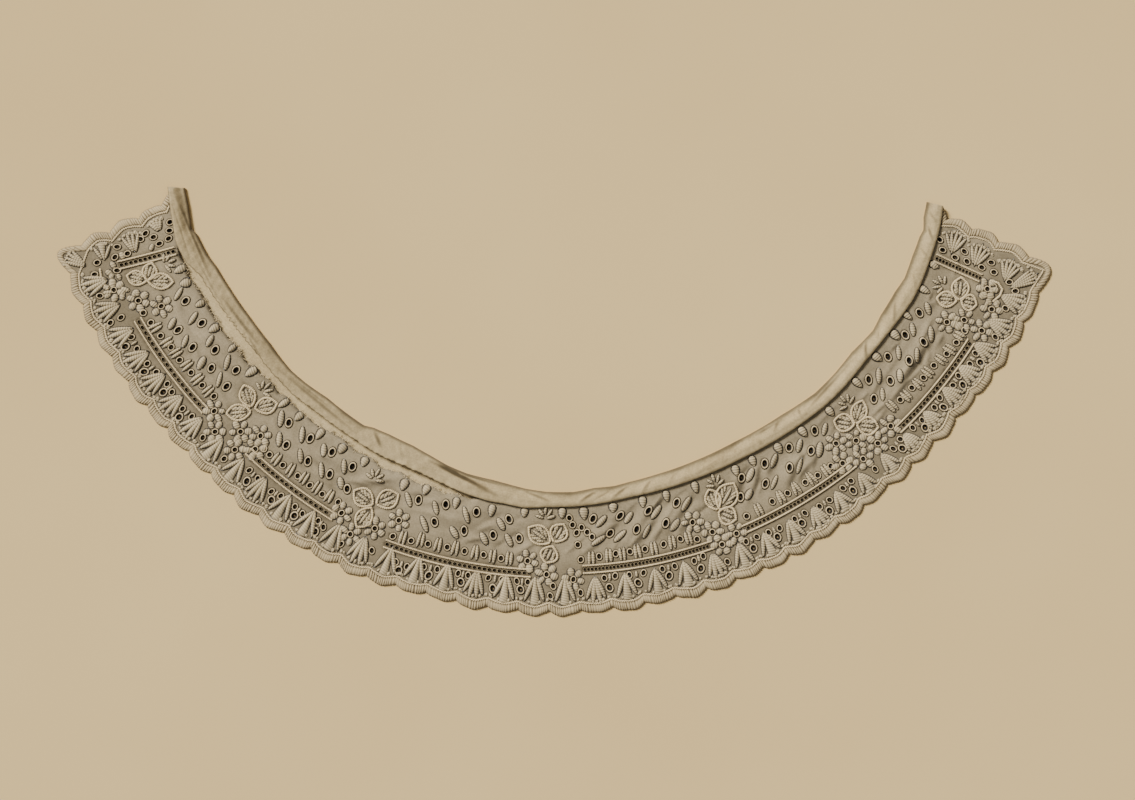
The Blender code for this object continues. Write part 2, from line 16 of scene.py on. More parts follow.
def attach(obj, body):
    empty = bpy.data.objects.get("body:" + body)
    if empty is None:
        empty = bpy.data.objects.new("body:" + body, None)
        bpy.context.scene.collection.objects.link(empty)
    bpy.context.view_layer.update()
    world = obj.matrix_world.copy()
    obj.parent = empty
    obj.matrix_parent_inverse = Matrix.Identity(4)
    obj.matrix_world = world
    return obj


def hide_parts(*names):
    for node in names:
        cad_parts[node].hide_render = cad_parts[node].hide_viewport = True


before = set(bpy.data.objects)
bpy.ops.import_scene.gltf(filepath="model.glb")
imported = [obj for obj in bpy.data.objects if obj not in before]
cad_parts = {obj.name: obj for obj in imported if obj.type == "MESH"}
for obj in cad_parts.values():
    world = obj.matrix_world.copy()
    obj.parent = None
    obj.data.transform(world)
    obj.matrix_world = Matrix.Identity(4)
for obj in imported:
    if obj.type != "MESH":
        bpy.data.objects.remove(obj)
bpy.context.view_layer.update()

LOG = logging.getLogger("collar")
MM = 0.001
Array = np.ndarray
Colour = tuple[float, ...]
Rows = Sequence[Sequence[float]]
# Gives corners, shade and map for shares along and across a grid
Place = Callable[[Array, Array], tuple[Array, Array, Array]]

# Grid over the whole collar for its folds and shades: millimetres to a square, place of the
# left and the lowest line, squares across and up
CELL = 0.4
LEFT = -200.0
LOW = -95.0
WIDE = 1000
TALL = 475

# The chart: rays are degrees from straight down, positive to the right, and rings are steps of
# 0.375 mm from the middle of the neck
# Neckband: ray, ring of the fold at the neck, ring of the front leaf's edge
BAND = np.array((
    (-77, 386, 401), (-74, 387, 404), (-72, 389, 406), (-70.5, 391, 408), (-69.5, 388.2, 409),
    (-67.5, 387, 408.5), (-66, 386, 406.5), (-64, 383.2, 400.5), (-60, 381.5, 398),
    (-55, 380, 396.2), (-50, 380, 395.2), (-47, 382, 397), (-45, 383, 397.2), (-42, 382, 398),
    (-38, 379.5, 396.5), (-34, 380.6, 397), (-31, 381.5, 397.5), (-29.5, 378.6, 398.3),
    (-27, 377, 399), (-23, 377.2, 398.3), (-20, 380, 399.2), (-17, 384, 402), (-14, 386.6, 405),
    (-10, 387.5, 408), (-8, 389, 408), (-5, 392, 410), (-2, 393.8, 408), (2, 394, 407.4),
    (5, 391.2, 406.5), (8, 391.5, 405), (10, 390, 404), (14, 388.5, 403.6), (20, 387, 403),
    (27, 385.5, 402.5), (35, 386.6, 404), (41, 390, 405), (45, 389, 404), (49, 387, 402),
    (53.5, 390, 402.4), (56, 387.5, 403.4), (60, 387.2, 405.4), (62.5, 389, 405), (66, 386.5, 403),
    (69, 385.8, 401.6), (70.2, 387, 401), (72, 383, 399.5), (74.3, 381.5, 397),
))

# The panel's raw edge where the seam has opened: ray, ring, share of the full lift above it
RAW = np.array((
    (-69.4, 402.5, 1), (-68.3, 410, 0.7), (-66, 410.2, 0.2), (-64, 410.6, 0), (-62, 408.5, 0),
    (-59, 408.2, 0), (-56, 409.5, 0), (-52, 407, 0), (-50, 409.2, 0), (-47.5, 406.4, 0),
    (-45.5, 404.2, 0), (-44, 407.2, 0), (-42.5, 404.2, 0), (-40, 407, 0), (-38, 406, 0),
    (-36.2, 407, 0), (-34.5, 404, 0), (-32.3, 403.2, 0), (-30, 407, 0), (-28, 405, 0),
    (-25.5, 410, 0), (-23, 405.4, 0), (-20.5, 410, 0), (-18.4, 407.6, 0), (-16.4, 411.2, 0.1),
    (-14.8, 408.4, 0.6), (-12.6, 410.5, 1), (-11.2, 402, 1),
))

# Fans along the lower edge: number of the fan and its ray
FANS = np.array(((0, -68.3), (5, -51.8), (10, -34.2), (15, -17), (20, 0.6), (25, 18.5),
                 (30, 35), (35, 52.9), (39, 65.9)))

# Valleys of the lower edge: ray and ring
LOWER_EDGE = np.array((
    (-68.3, 519.2), (-63.5, 517.4), (-56.5, 514.9), (-49.5, 510.8), (-42.5, 511.4), (-35.5, 513.1),
    (-28.5, 513.1), (-21.5, 513.4), (-14.5, 510.5), (-7.5, 512), (-0.5, 511.8), (6.5, 510.3),
    (13.5, 509.6), (20.5, 510.2), (27.5, 509), (34.5, 507.4), (41.5, 505.2), (48.5, 505.7),
    (55.5, 510), (62.5, 512.9), (68, 515.8),
))

# Scallops of the two ends: ray and ring of each valley, and how far the next lobe stands out,
# in rings
LEFT_END = ((-76.5, 400.8, 0.8), (-75, 412.4, 4.2), (-74.1, 438, 6.5), (-73.4, 470, 6),
            (-73, 500, 20))
RIGHT_END = ((68, 516, 18.5), (71.4, 494, 5.5), (71.9, 461, 6), (72.4, 432, 5.4),
             (72.6, 405.1, 0.8))
LEFT_CORNER = (-70.3, 519.5)
RIGHT_NECK = (74.3, 397.4)

# Profile of the rim, drawn 3.3 mm wide: millimetres inside the outline, height, painted shade
RIM_PROFILE = np.array((
    (0, 0.27, 0.9), (0.26, 0.6, 0.55), (0.7, 0.88, 0.1), (1.6, 1.08, 0),
    (2.5, 1.06, 0), (2.95, 0.97, 0.4), (3.3, 0.85, 0.8), (3.1, 0.5, 1),
    (1.8, 0.16, 1), (0.25, 0.08, 1), (0, 0.27, 1),
))

# Folds of the ground: two ends as ray and ring, height and half width in mm
FOLDS = (
    (-40.2, 432.6, -36.7, 434.6, 0.45, 0.9), (-36.7, 434.6, -33.5, 438.2, 0.45, 0.9),
    (-36.1, 428.9, -33.8, 432, -0.3, 0.8), (-38.2, 446.5, -34.9, 447.7, 0.4, 0.9),
    (-33, 447.4, -30, 449.8, 0.45, 0.9), (-31.5, 446.2, -28.1, 450.3, -0.35, 0.9),
    (-29.2, 435.8, -25.9, 429.4, 0.5, 0.9), (-42.1, 429.4, -40.3, 435.4, 0.35, 0.8),
    (-57.6, 452.8, -55.8, 449.8, 0.4, 0.9), (-54.4, 449.4, -52.3, 448.5, 0.45, 0.9),
    (-56.9, 430.3, -55, 429, 0.4, 0.9), (-61.7, 437.7, -52.1, 446.1, 0.55, 1.3),
    (-52.1, 446.1, -47.1, 451.1, 0.45, 1.2), (-56.8, 430.7, -50.5, 428.3, 0.45, 1.1),
    (14.6, 406.5, 12.9, 419.1, 0.4, 0.9), (15.9, 419.3, 13.5, 436.6, 0.5, 1),
    (13.5, 436.6, 11.5, 450.6, 0.45, 1), (18.4, 407, 16.3, 411.5, 0.35, 0.8),
    (10.7, 409.3, 9.2, 415.6, 0.35, 0.8), (16.5, 439.1, 15.1, 447, 0.35, 0.8),
    (10.5, 440.9, 8.9, 452.3, 0.35, 0.8), (59.3, 431.3, 54.5, 436.1, 0.45, 0.9),
    (54.5, 417, 52.6, 413.5, 0.35, 0.8), (56, 444.7, 53.6, 454.2, 0.4, 0.9),
    (53.2, 449.6, 50.8, 448.2, 0.35, 0.8), (58.4, 448.7, 57, 451.3, 0.35, 0.8),
    (62.8, 418.2, 61, 418.9, 0.35, 0.8), (28.2, 417.3, 26.3, 436.8, 0.5, 1.1),
    (27.7, 433.2, 26.7, 440.9, 0.35, 0.8), (24.9, 408.2, 24.9, 427.4, 0.4, 0.9),
    (46.7, 424.3, 44.8, 425, 0.35, 0.8), (46.6, 444.1, 44.5, 444, 0.35, 0.8),
    (44.2, 441.7, 44.3, 455.2, 0.4, 0.9), (-61, 434, -49, 430, 0.7, 3.2),
    (-38, 434, -28, 430, 0.6, 3), (-18, 438, -5, 432, 0.8, 3.2), (-13.5, 428, -9.5, 413, 0.7, 2.6),
    (4.6, 432, 8.6, 413, 0.7, 2.6), (8.4, 447, 14, 412, 1, 2.8), (13, 447, 18.2, 416, 0.8, 2.6),
    (24, 432, 25, 412, 0.8, 2.6), (30, 446, 34.6, 426, 0.8, 2.8), (47.5, 447, 60, 431, 0.7, 3),
)

# Finer creases of the ground, in the same columns
SOFT_CREASES = (
    (-62, 430, -52, 428, -0.35, 1.3), (-57, 436, -49, 435, 0.4, 1.2),
    (-61, 455, -54, 449, 0.3, 1.4), (-41, 446, -31, 449, 0.35, 1.3),
    (-36, 430, -29, 426, 0.35, 1.2), (-21, 436, -14, 433, 0.4, 1.2), (-16, 450, -6, 447, 0.35, 1.4),
    (-11, 436, -6.5, 414, -0.35, 1.4), (-8.5, 414, -5.2, 428, 0.35, 1.3),
    (3.2, 446, 7, 430, 0.4, 1.3), (6, 424, 9, 411, -0.35, 1.2), (9.6, 450, 12.6, 430, 0.45, 1.2),
    (11.2, 432, 15.6, 410, -0.4, 1.3), (15, 452, 18.5, 430, 0.4, 1.3),
    (24.6, 446, 28.6, 412, 0.4, 1.3), (28.4, 430, 31.6, 411, 0.4, 1.3),
    (32, 450, 37, 428, 0.4, 1.3), (34, 446, 34.8, 412, -0.3, 1.2), (46, 428, 57, 424, 0.35, 1.4),
    (48, 444, 60, 441, 0.4, 1.3), (50, 449, 57, 446, -0.3, 1.2), (60, 428, 62, 414, 0.3, 1.3),
    (-70, 420, -74, 428, 0.3, 1.3), (68.5, 440, 71, 442, 0.3, 1.3),
)

# Creases of the front leaf, in the same columns
NECK_CREASES = (
    (-76.5, 397, -62, 393, 0.32, 0.55), (-75, 401, -66, 402.5, -0.24, 0.4),
    (-60, 392, -50.5, 389, 0.32, 0.61), (-53, 391, -50, 395, 0.24, 0.4),
    (-68, 398, -58, 396, 0.2, 0.4), (-47, 391, -31, 392, 0.28, 0.66),
    (-45, 387, -36, 385, 0.2, 0.44), (-29.4, 380, -27, 392, 0.32, 0.77),
    (-25, 383, -23.5, 392, 0.16, 0.66), (-20, 384, -9, 401, 0.44, 0.83),
    (-15, 388, -8, 392, -0.24, 0.55), (-5.5, 393, -1, 404, 0.28, 0.61),
    (2.6, 404, 5.2, 394, 0.36, 0.5), (4.8, 403, 7.4, 395, -0.24, 0.44),
    (7.2, 403, 10, 393, 0.32, 0.5), (11.6, 402, 13.6, 391, 0.28, 0.5),
    (15.6, 400, 17.2, 391, 0.2, 0.44), (19, 399, 26, 393, 0.16, 0.66),
    (37, 399, 49, 392, 0.24, 0.66), (49.6, 400, 51.6, 390, 0.36, 0.5),
    (52.6, 400, 54.2, 393, -0.2, 0.44), (56, 401, 59, 391, 0.28, 0.55),
    (61.5, 403, 64, 393, 0.2, 0.5), (66.5, 400, 67.6, 390, 0.24, 0.44),
    (69, 398, 71, 389, 0.32, 0.5), (71.6, 396, 73.2, 385, 0.24, 0.44),
    (37.6, 389.3, 37.1, 397.9, 0.3, 0.45), (34.4, 388, 32.5, 396.1, 0.28, 0.6),
    (30.2, 393.2, 30.1, 399.5, 0.22, 0.45), (28.7, 385.3, 25.7, 386.9, 0.26, 0.55),
    (40.8, 389.5, 43.6, 388, 0.3, 0.55), (30, 388.5, 33.5, 389.5, 0.24, 0.5),
)

# Whitework, as rays and rings, six fields from left to right: drops along the neckband, then
# the eyelets of the field and the slanted leaves beside them
DROPS = (
    (-65.8, 416), (-63.8, 417), (-60.3, 414), (-56.4, 415), (-52.7, 412), (-48.5, 412),
    (-42.2, 411), (-39.4, 411), (-35.6, 412), (-31.9, 412), (-28.3, 412), (-22, 416), (-18.9, 413),
    (-14.4, 417), (-9.4, 417), (-4.9, 415), (0.3, 414), (3.3, 415), (7.4, 412), (11.6, 411),
    (15, 411), (19.2, 411), (25.3, 411), (28, 410), (32, 412), (36.1, 412), (40.8, 413),
    (46.3, 411), (50.8, 409), (54.8, 410), (58, 409), (62.3, 411), (66, 409),
)
FIELD_EYELETS = (
    (-61.6, 425), (-57.9, 422), (-53.9, 426), (-50, 422), (-62.5, 449), (-58.8, 446), (-55.9, 443),
    (-52.3, 440), (-49.2, 440), (-39.9, 422), (-36.3, 421), (-32.8, 420), (-29.4, 422),
    (-38.3, 441), (-34.8, 441), (-31.5, 440), (-28.6, 444), (-19.4, 425), (-15.7, 421),
    (-11.4, 421), (-6.9, 423), (-16.5, 441), (-12.5, 442), (-8.7, 441), (-5.3, 441), (4.5, 421),
    (8.2, 421), (12.1, 421), (16.1, 420), (6.6, 437), (10.1, 437), (14, 437), (25.6, 420),
    (29.3, 418), (33.3, 417), (37.5, 418), (24.4, 437), (28.1, 436), (31.9, 434), (35.5, 432),
    (47.7, 417), (51.8, 417), (55.6, 418), (59.2, 418), (46.3, 434), (49.5, 434), (53.1, 436),
    (56.2, 437),
)
FIELD_LEAVES = (
    (-62.9, 428), (-59.1, 427), (-55.3, 425), (-51.6, 424), (-59.9, 448), (-57.1, 446),
    (-53.6, 445), (-50.5, 441), (-41.1, 424), (-37.5, 423), (-33.9, 423), (-30.4, 426),
    (-39.5, 441), (-36, 441), (-32.7, 441), (-29.7, 442), (-20.7, 428), (-16.9, 427), (-12.7, 426),
    (-7.9, 429), (-17.7, 446), (-13.7, 446), (-9.8, 446), (-6.6, 444), (5.6, 424), (9.3, 424),
    (13.1, 424), (17.3, 424), (5, 443), (7.8, 441), (11.3, 441), (15.1, 441), (26.8, 421),
    (30.6, 420), (34.6, 421), (38.7, 423), (25.5, 438), (29.2, 439), (33.1, 438), (36.5, 436),
    (49, 422), (53.1, 423), (56.8, 421), (60.3, 423), (47.5, 437), (50.8, 438), (54.3, 439),
    (57.6, 439),
)
# Eyelets of the row under the field, then the split leaves between them
SMALL_EYELETS = (
    (-62.8, 468), (-61.3, 466), (-59.3, 464), (-57.4, 461), (-55.5, 461), (-53.4, 459),
    (-51.3, 458), (-49.3, 456), (-40.2, 458), (-39.2, 459), (-37.1, 459), (-34.8, 459),
    (-32.9, 460), (-31, 461), (-28.8, 460), (-20.9, 468), (-18.6, 466), (-16.5, 464), (-14.1, 462),
    (-11.9, 462), (-9.5, 462), (-7.3, 463), (-4.1, 463), (2.6, 461), (4.9, 459), (7, 458),
    (8.8, 458), (10.7, 458), (13.1, 457), (15.3, 456), (17.3, 461), (24.1, 457), (27.8, 455),
    (30, 455), (32.6, 455), (34.4, 456), (36.4, 456), (37.7, 461), (48.5, 454), (50.6, 455),
    (52.5, 458), (54.5, 459), (56.6, 463), (58.4, 465), (60.2, 466), (1.3, 419), (1.7, 426),
    (2.2, 434), (2.9, 429), (3.6, 434), (4.2, 439), (2.3, 446),
)
SPLIT_LEAVES = (
    (-60.5, 464), (-58.2, 462), (-56.5, 460), (-54.5, 458), (-52.3, 458), (-50.3, 457),
    (-38.2, 458), (-36, 458), (-34, 457), (-32, 458), (-30.1, 459), (-19.7, 466), (-17.5, 462),
    (-15.3, 462), (-13.1, 461), (-10.6, 461), (-8.4, 462), (-6.3, 462), (3.9, 460), (6.1, 459),
    (7.8, 459), (9.7, 459), (11.8, 459), (14.2, 457), (16.3, 457), (25.8, 456), (29, 455),
    (31.2, 455), (33.5, 455), (35.6, 457), (47.2, 452), (49.4, 456), (51.5, 457), (53.4, 458),
    (55.6, 461), (57.3, 463), (59.3, 464),
)
# Eyelets of the border: two above and a larger one below them
CLUSTERS = (
    (-60.9, 490, -59.4, 491, -60.3, 500), (-57.3, 490, -55.9, 487, -56.7, 497),
    (-54, 485, -52.9, 486, -53.5, 493), (-50.6, 488, -49.2, 486, -50.1, 496),
    (-39.9, 484, -38.5, 485, -39.3, 494), (-36.3, 487, -35.1, 485, -35.7, 494),
    (-33, 486, -31.8, 488, -32.5, 494), (-29.8, 486, -28.9, 489, -29.5, 497),
    (-19.5, 491, -18.1, 492, -18.9, 498), (-16.2, 487, -14.6, 486, -15.4, 494),
    (-12.1, 485, -10.9, 485, -11.6, 493), (-8.5, 484, -6.9, 484, -7.8, 494),
    (-5.1, 484, -3.8, 484, -4.6, 492), (5.3, 481, 6.6, 480, 5.8, 491),
    (8.3, 481, 10, 481, 9.2, 490), (12.3, 481, 13.8, 481, 12.9, 489),
    (16.2, 481, 17.4, 479, 16.7, 490), (22.8, 480, 24.2, 480, 23.3, 489),
    (25.7, 481, 27.1, 482, 26.4, 489), (29.2, 481, 30.6, 481, 29.7, 488),
    (32.5, 483, 33.9, 483, 33.2, 492), (36, 481, 37.3, 480, 36.8, 489),
    (43.6, 483, 45, 481, 44.4, 489), (47, 482, 48.4, 484, 48, 491),
    (50.5, 485, 51.8, 483, 51.2, 492), (53.9, 486, 55.2, 485, 54.6, 494),
    (57.1, 488, 58.5, 487, 57.9, 496),
)
# Eyelets that stand by themselves, between the fans and at both ends
SINGLE_EYELETS = (
    (-68.8, 474.5), (66.6, 471.8), (-66.8, 500), (-63.5, 490), (-63.5, 502), (-46.5, 492),
    (-43, 492), (-26.2, 496), (-22.6, 489), (-0.8, 487), (-1.1, 497), (2.4, 494), (19.9, 492),
    (40.4, 486), (61.3, 496), (64.8, 492), (-72.4, 408.5), (-71.3, 411.5), (-70.3, 415),
    (-70.1, 425.5), (-71.2, 429), (-72, 435.5), (-71.5, 442), (-70.3, 459), (-71.5, 466.5),
    (-70.4, 472), (-70.5, 490.5), (-69.3, 497), (69.6, 404.5), (68.4, 411), (68.1, 425.5),
    (69.3, 432), (68.2, 438), (68.2, 454), (69.2, 461), (68.2, 467), (67.8, 485), (67.1, 494),
)
# Florets of six petals round an eyelet
FLORETS = (
    (-64.4, 467), (-66.8, 485), (-47.9, 465.5), (-46, 479), (-43.8, 461), (-41.6, 450.5),
    (-42.8, 478), (-27.8, 468), (-25.7, 483), (-23.3, 467.5), (-20.9, 451), (-4, 463),
    (-1.6, 475.5), (1.6, 480.5), (17.4, 443.5), (19.4, 459), (20, 474), (22.1, 469), (38.7, 441.5),
    (40.1, 470.5), (42.7, 468.5), (45.3, 465), (60, 446.5), (61.3, 460.5), (61.2, 481), (64, 480),
    (66, 467.5), (40.9, 452), (37.8, 461), (-41, 464), (-62.5, 449),
)
# Lobes of the seven trefoils: ray and ring of the foot, turn from the ray in degrees, length
# and width in mm
LOBES = (
    (-66.2, 450.6, -38, 7.8, 5.4), (-66.2, 450.6, -129, 6.8, 5.4), (-66.2, 450.6, 154, 9.8, 5.8),
    (-45, 436.2, -118, 8.7, 6), (-44.6, 438.9, -41, 9.4, 6), (-44.6, 434.5, 147, 8.8, 6),
    (-24.7, 446.8, -103, 8.9, 7), (-24.4, 444.8, 137, 9.2, 7), (-24.7, 449.7, -13, 9.2, 6),
    (-1.2, 443.9, -124, 10, 7), (-0.8, 443, 151, 7.6, 6.6), (-0.9, 447, -22, 6.8, 6.6),
    (21, 440.3, -177, 8.4, 5.8), (21.2, 440.8, 131, 11.4, 8.2), (21, 442, 46, 7.2, 6.8),
    (42.1, 439.1, -143, 7.8, 6.6), (42.2, 439, 120, 9.3, 5.8), (42.3, 440.4, 41, 8.2, 6.8),
    (63.2, 447.1, 112, 8.7, 6.5), (63.1, 445.3, -159, 7.8, 5.8), (63.3, 448.7, 12, 6, 6),
)
# Sprigs of small leaves above the trefoils: ray and ring of the foot
SPRIGS = ((-67.3, 428.5), (-45.5, 418), (-26, 424), (-2, 420), (22, 417),
          (43.3, 421), (64, 427))
# Ladders of slots: first ray and ring, last ray and ring, how many
LADDERS = ((-62.4, 476, -48.6, 472, 18), (-41.5, 470, -28.4, 475, 18),
           (-21.5, 477.5, -3.4, 475, 30), (2.8, 471, 18.9, 471, 36),
           (22.9, 468, 38.8, 468, 30), (45.6, 473, 59.4, 477, 23),
           (-68.4, 413, -69.3, 471, 12), (67, 407, 66.9, 458, 14))
# Fans of the two ends: ray and ring of the foot, mean turn from the ray in degrees, reach in
# mm, spread to each side in degrees, how many leaves
END_FANS = (
    (-70.4, 501.2, -49, 9.6, 17, 4), (-70.3, 483.2, -99, 7.7, 28, 3), (-69.9, 451.4, -93, 9, 24, 4),
    (-71.4, 420.7, -81, 6.3, 24, 4), (68.3, 420.7, 96, 9.4, 28, 5), (67.9, 446.5, 91, 9.2, 28, 5),
    (67.6, 480.2, 91, 9, 27, 5), (67.1, 487.5, 51, 11.8, 14, 5),
)
# Small ovals that fill the corners: ray, ring, turn from the ray in degrees, size in mm
CORNER_OVALS = (
    (-68.9, 483, 128, 2.6, 2.2), (-69.6, 476.5, 109, 2.8, 2.2), (-68.4, 481.9, 28, 2.4, 2),
    (-68, 475.1, 98, 2.4, 2), (-67.5, 484.4, 97, 2.4, 2.2), (-67.1, 476.8, 27, 2.4, 2.2),
    (-66.8, 491.4, 166, 3.6, 1.7), (-66.3, 474.2, 136, 3.4, 1.8), (-65.7, 479.9, 65, 2.6, 2),
    (-65.8, 488.6, 75, 2.6, 2), (-70.3, 464.7, 100, 2.6, 2.2), (-70, 434.3, 49, 2.6, 1.7),
    (-65.4, 467.5, 45, 2.6, 2.2), (-64.7, 458.1, 94, 2.6, 2.2), (65.7, 461.4, 24, 2.6, 2.3),
    (66.5, 461.8, -86, 2.6, 2), (66, 472.4, -46, 2.4, 1.8), (65.2, 467.8, -45, 2.6, 2),
    (64.4, 473.4, -94, 2.4, 1.8), (64.7, 482.5, -34, 2.4, 1.8), (65.9, 409.6, -45, 2.5, 1.9),
    (66.8, 500.6, 18, 4.2, 1.8),
)
# Cords that curl round them, as rays and rings
CORNER_CORDS = (
    ((-69.7, 489.9), (-68.8, 491.5), (-67.7, 491.6), (-67.1, 489.8)),
    ((67.1, 466.7), (67.2, 475.2), (66.7, 481.3), (65.9, 481.8), (65, 478.2)),
)


def smooth(share: Array | float) -> Array:
    """Eases from nought to one.

    Args:
        share: Any number or array; what is outside nought to one is held there.

    Returns:
        The eased share.
    """
    held = np.clip(share, 0.0, 1.0)
    return held * held * (3.0 - 2.0 * held)


def bumps(rows: Rows, x: Array, y: Array) -> Array:
    """Adds up soft creases at some points.

    Args:
        rows: Creases as two ends in ray and ring, then height and half width in mm.
        x: Places across, in mm.
        y: Places up the picture, in mm.

    Returns:
        The height at each point, in mm.
    """
    total = np.zeros_like(x, dtype=float)
    for ray_a, ring_a, ray_b, ring_b, height, half in rows:
        ax, ay = CHART.plan(ray_a, ring_a)
        bx, by = CHART.plan(ray_b, ring_b)
        span = math.hypot(bx - ax, by - ay)
        near = np.clip(((x - ax) * (bx - ax) + (y - ay) * (by - ay)) / span ** 2, 0.0, 1.0)
        away = np.hypot(x - ax - (bx - ax) * near, y - ay - (by - ay) * near)
        fade = np.sin(math.pi * (0.1 + 0.8 * near))
        total += height * np.exp(-(away / half) ** 2) * fade
    return total


@dataclass(frozen=True)
class Chart:
    """The collar's chart, in rays and rings about the middle of the neck.

    Args:
        step: Millimetres to a ring.
        centre_x: Middle of the neck, across, in mm.
        centre_y: Middle of the neck, up the picture, in mm.
        wall: Height that a layer takes up, in mm.
        seam_gap: Gap between layers, in mm.
        tuck: Rings of the panel that are tucked into the neckband.
        held: Rings past the back leaf's edge at which the panel starts to come down.
        lift_run: Rings over which it comes down.
        calm: Rings beside the neckband where no fold shows.
        calm_run: Rings over which the folds come in.
        droop: Millimetres that the raw edge droops.
        droop_run: Rings over which it droops.
    """

    step: float = 0.375
    centre_x: float = 2.03
    centre_y: float = 113.45
    wall: float = 0.8
    seam_gap: float = 0.1
    tuck: float = 6.5
    held: float = 3.5
    lift_run: float = 20.0
    calm: float = 4.0
    calm_run: float = 12.0
    droop: float = 0.8
    droop_run: float = 6.0

    def plan(self, ray: Array | float, ring: Array | float) -> tuple[Array, Array]:
        """Turns places on the chart into places on the paper.

        Args:
            ray: Degrees from straight down.
            ring: Steps from the middle of the neck.

        Returns:
            The x and y in mm.
        """
        angle = np.radians(ray)
        reach = np.multiply(ring, self.step)
        return self.centre_x + reach * np.sin(angle), self.centre_y - reach * np.cos(angle)

    def chart(self, x: Array, y: Array) -> tuple[Array, Array]:
        """Turns x and y in mm into rays and rings."""
        across, down = x - self.centre_x, self.centre_y - y
        return np.degrees(np.arctan2(across, down)), np.hypot(across, down) / self.step

    def fold(self, ray: Array) -> Array:
        """Ring of the neckband's fold."""
        return np.interp(ray, BAND[:, 0], BAND[:, 1])

    def front(self, ray: Array) -> Array:
        """Ring of the front leaf's edge."""
        return np.interp(ray, BAND[:, 0], BAND[:, 2])

    def is_open(self, ray: Array) -> Array:
        """Whether the front leaf has come away from the panel."""
        return (np.asarray(ray) >= RAW[0, 0]) & (np.asarray(ray) <= RAW[-1, 0])

    def neck(self, ray: Array) -> Array:
        """Ring of the panel's neck edge, tucked in or bare."""
        return np.where(self.is_open(ray), np.interp(ray, RAW[:, 0], RAW[:, 1]),
                        self.front(ray) - self.tuck)

    def bare(self, ray: Array) -> Array:
        """Ring from which the panel shows."""
        return np.maximum(self.front(ray), self.neck(ray))

    def back(self, ray: Array) -> Array:
        """Ring of the back leaf's edge."""
        held = np.maximum(self.front(ray) - 1.0, np.interp(ray, RAW[:, 0], RAW[:, 1]) + 3.0)
        return np.where(self.is_open(ray), held, self.front(ray) - 1.0)

    def raised(self, ray: Array) -> Array:
        """Share of the panel's thickness that lifts the front leaf."""
        return np.where(self.is_open(ray), np.interp(ray, RAW[:, 0], RAW[:, 2]), 1.0)

    def lift(self, x: Array, y: Array) -> Array:
        """Finds how high the panel lies, up where the back leaf is beneath it.

        Args:
            x: Places across, in mm.
            y: Places up the picture, in mm.

        Returns:
            Its height over the paper, in mm.
        """
        ray, ring = self.chart(x, y)
        start = self.back(ray) + self.held
        return (self.wall + self.seam_gap) * (1.0 - smooth((ring - start) / self.lift_run))

    def ground(self, x: Array, y: Array) -> Array:
        """Finds the height of the panel's top, folds and all.

        Args:
            x: Places across, in mm.
            y: Places up the picture, in mm.

        Returns:
            The height in mm.
        """
        ray, ring = self.chart(x, y)
        clear = smooth((ring - self.front(ray) - self.calm) / self.calm_run)
        droop = self.droop * smooth((self.neck(ray) + 5.0 - ring) / self.droop_run)
        droop = droop * self.is_open(ray)
        return self.lift(x, y) - droop + self.wall + clear * CREASED.height(x, y)

    def fans(self) -> Array:
        """Rays of the fans on the lower edge."""
        return np.interp(np.arange(FANS[-1, 0] + 1), FANS[:, 0], FANS[:, 1])

    def valley(self, ray: Array) -> Array:
        """Ring of the lower edge's valleys."""
        return np.interp(ray, LOWER_EDGE[:, 0], LOWER_EDGE[:, 1])

    def feet(self, ray: Array) -> Array:
        """Ring of the feet of the lower edge's fans, farther out towards both ends."""
        left = 477.0 + 0.42 * np.maximum(0.0, -np.asarray(ray) - 50.0)
        return left + 0.32 * np.maximum(0.0, np.asarray(ray) - 54.0)


CHART = Chart()


def loose_creases(seed: int, count: int) -> list[tuple[float, ...]]:
    """Draws slight creases that run as the measured ones do, along the neck or aslant of it.

    Args:
        seed: Seed of their places.
        count: How many.

    Returns:
        Rows as in the tables of folds.
    """
    shake = random.Random(seed)
    rows = []
    leans = np.array(((-70, 0), (-45, 2), (-22, 24), (0, 34), (30, 32), (45, 6), (60, 0)))
    for _ in range(count):
        ray, ring = shake.uniform(-70, 68), shake.uniform(412, 453)
        x, y = CHART.plan(ray, ring)
        lean = float(np.interp(ray, leans[:, 0], leans[:, 1]))
        angle = math.radians(ray + lean + shake.gauss(0, 9))
        reach = shake.uniform(2.5, 6.5)
        ends = [CHART.chart(x + way * reach * math.cos(angle), y + way * reach * math.sin(angle))
                for way in (-1, 1)]
        rows.append((*map(float, ends[0]), *map(float, ends[1]),
                     shake.choice((-1, 1, 1)) * shake.uniform(0.16, 0.36), shake.uniform(0.7, 1.2)))
    return rows


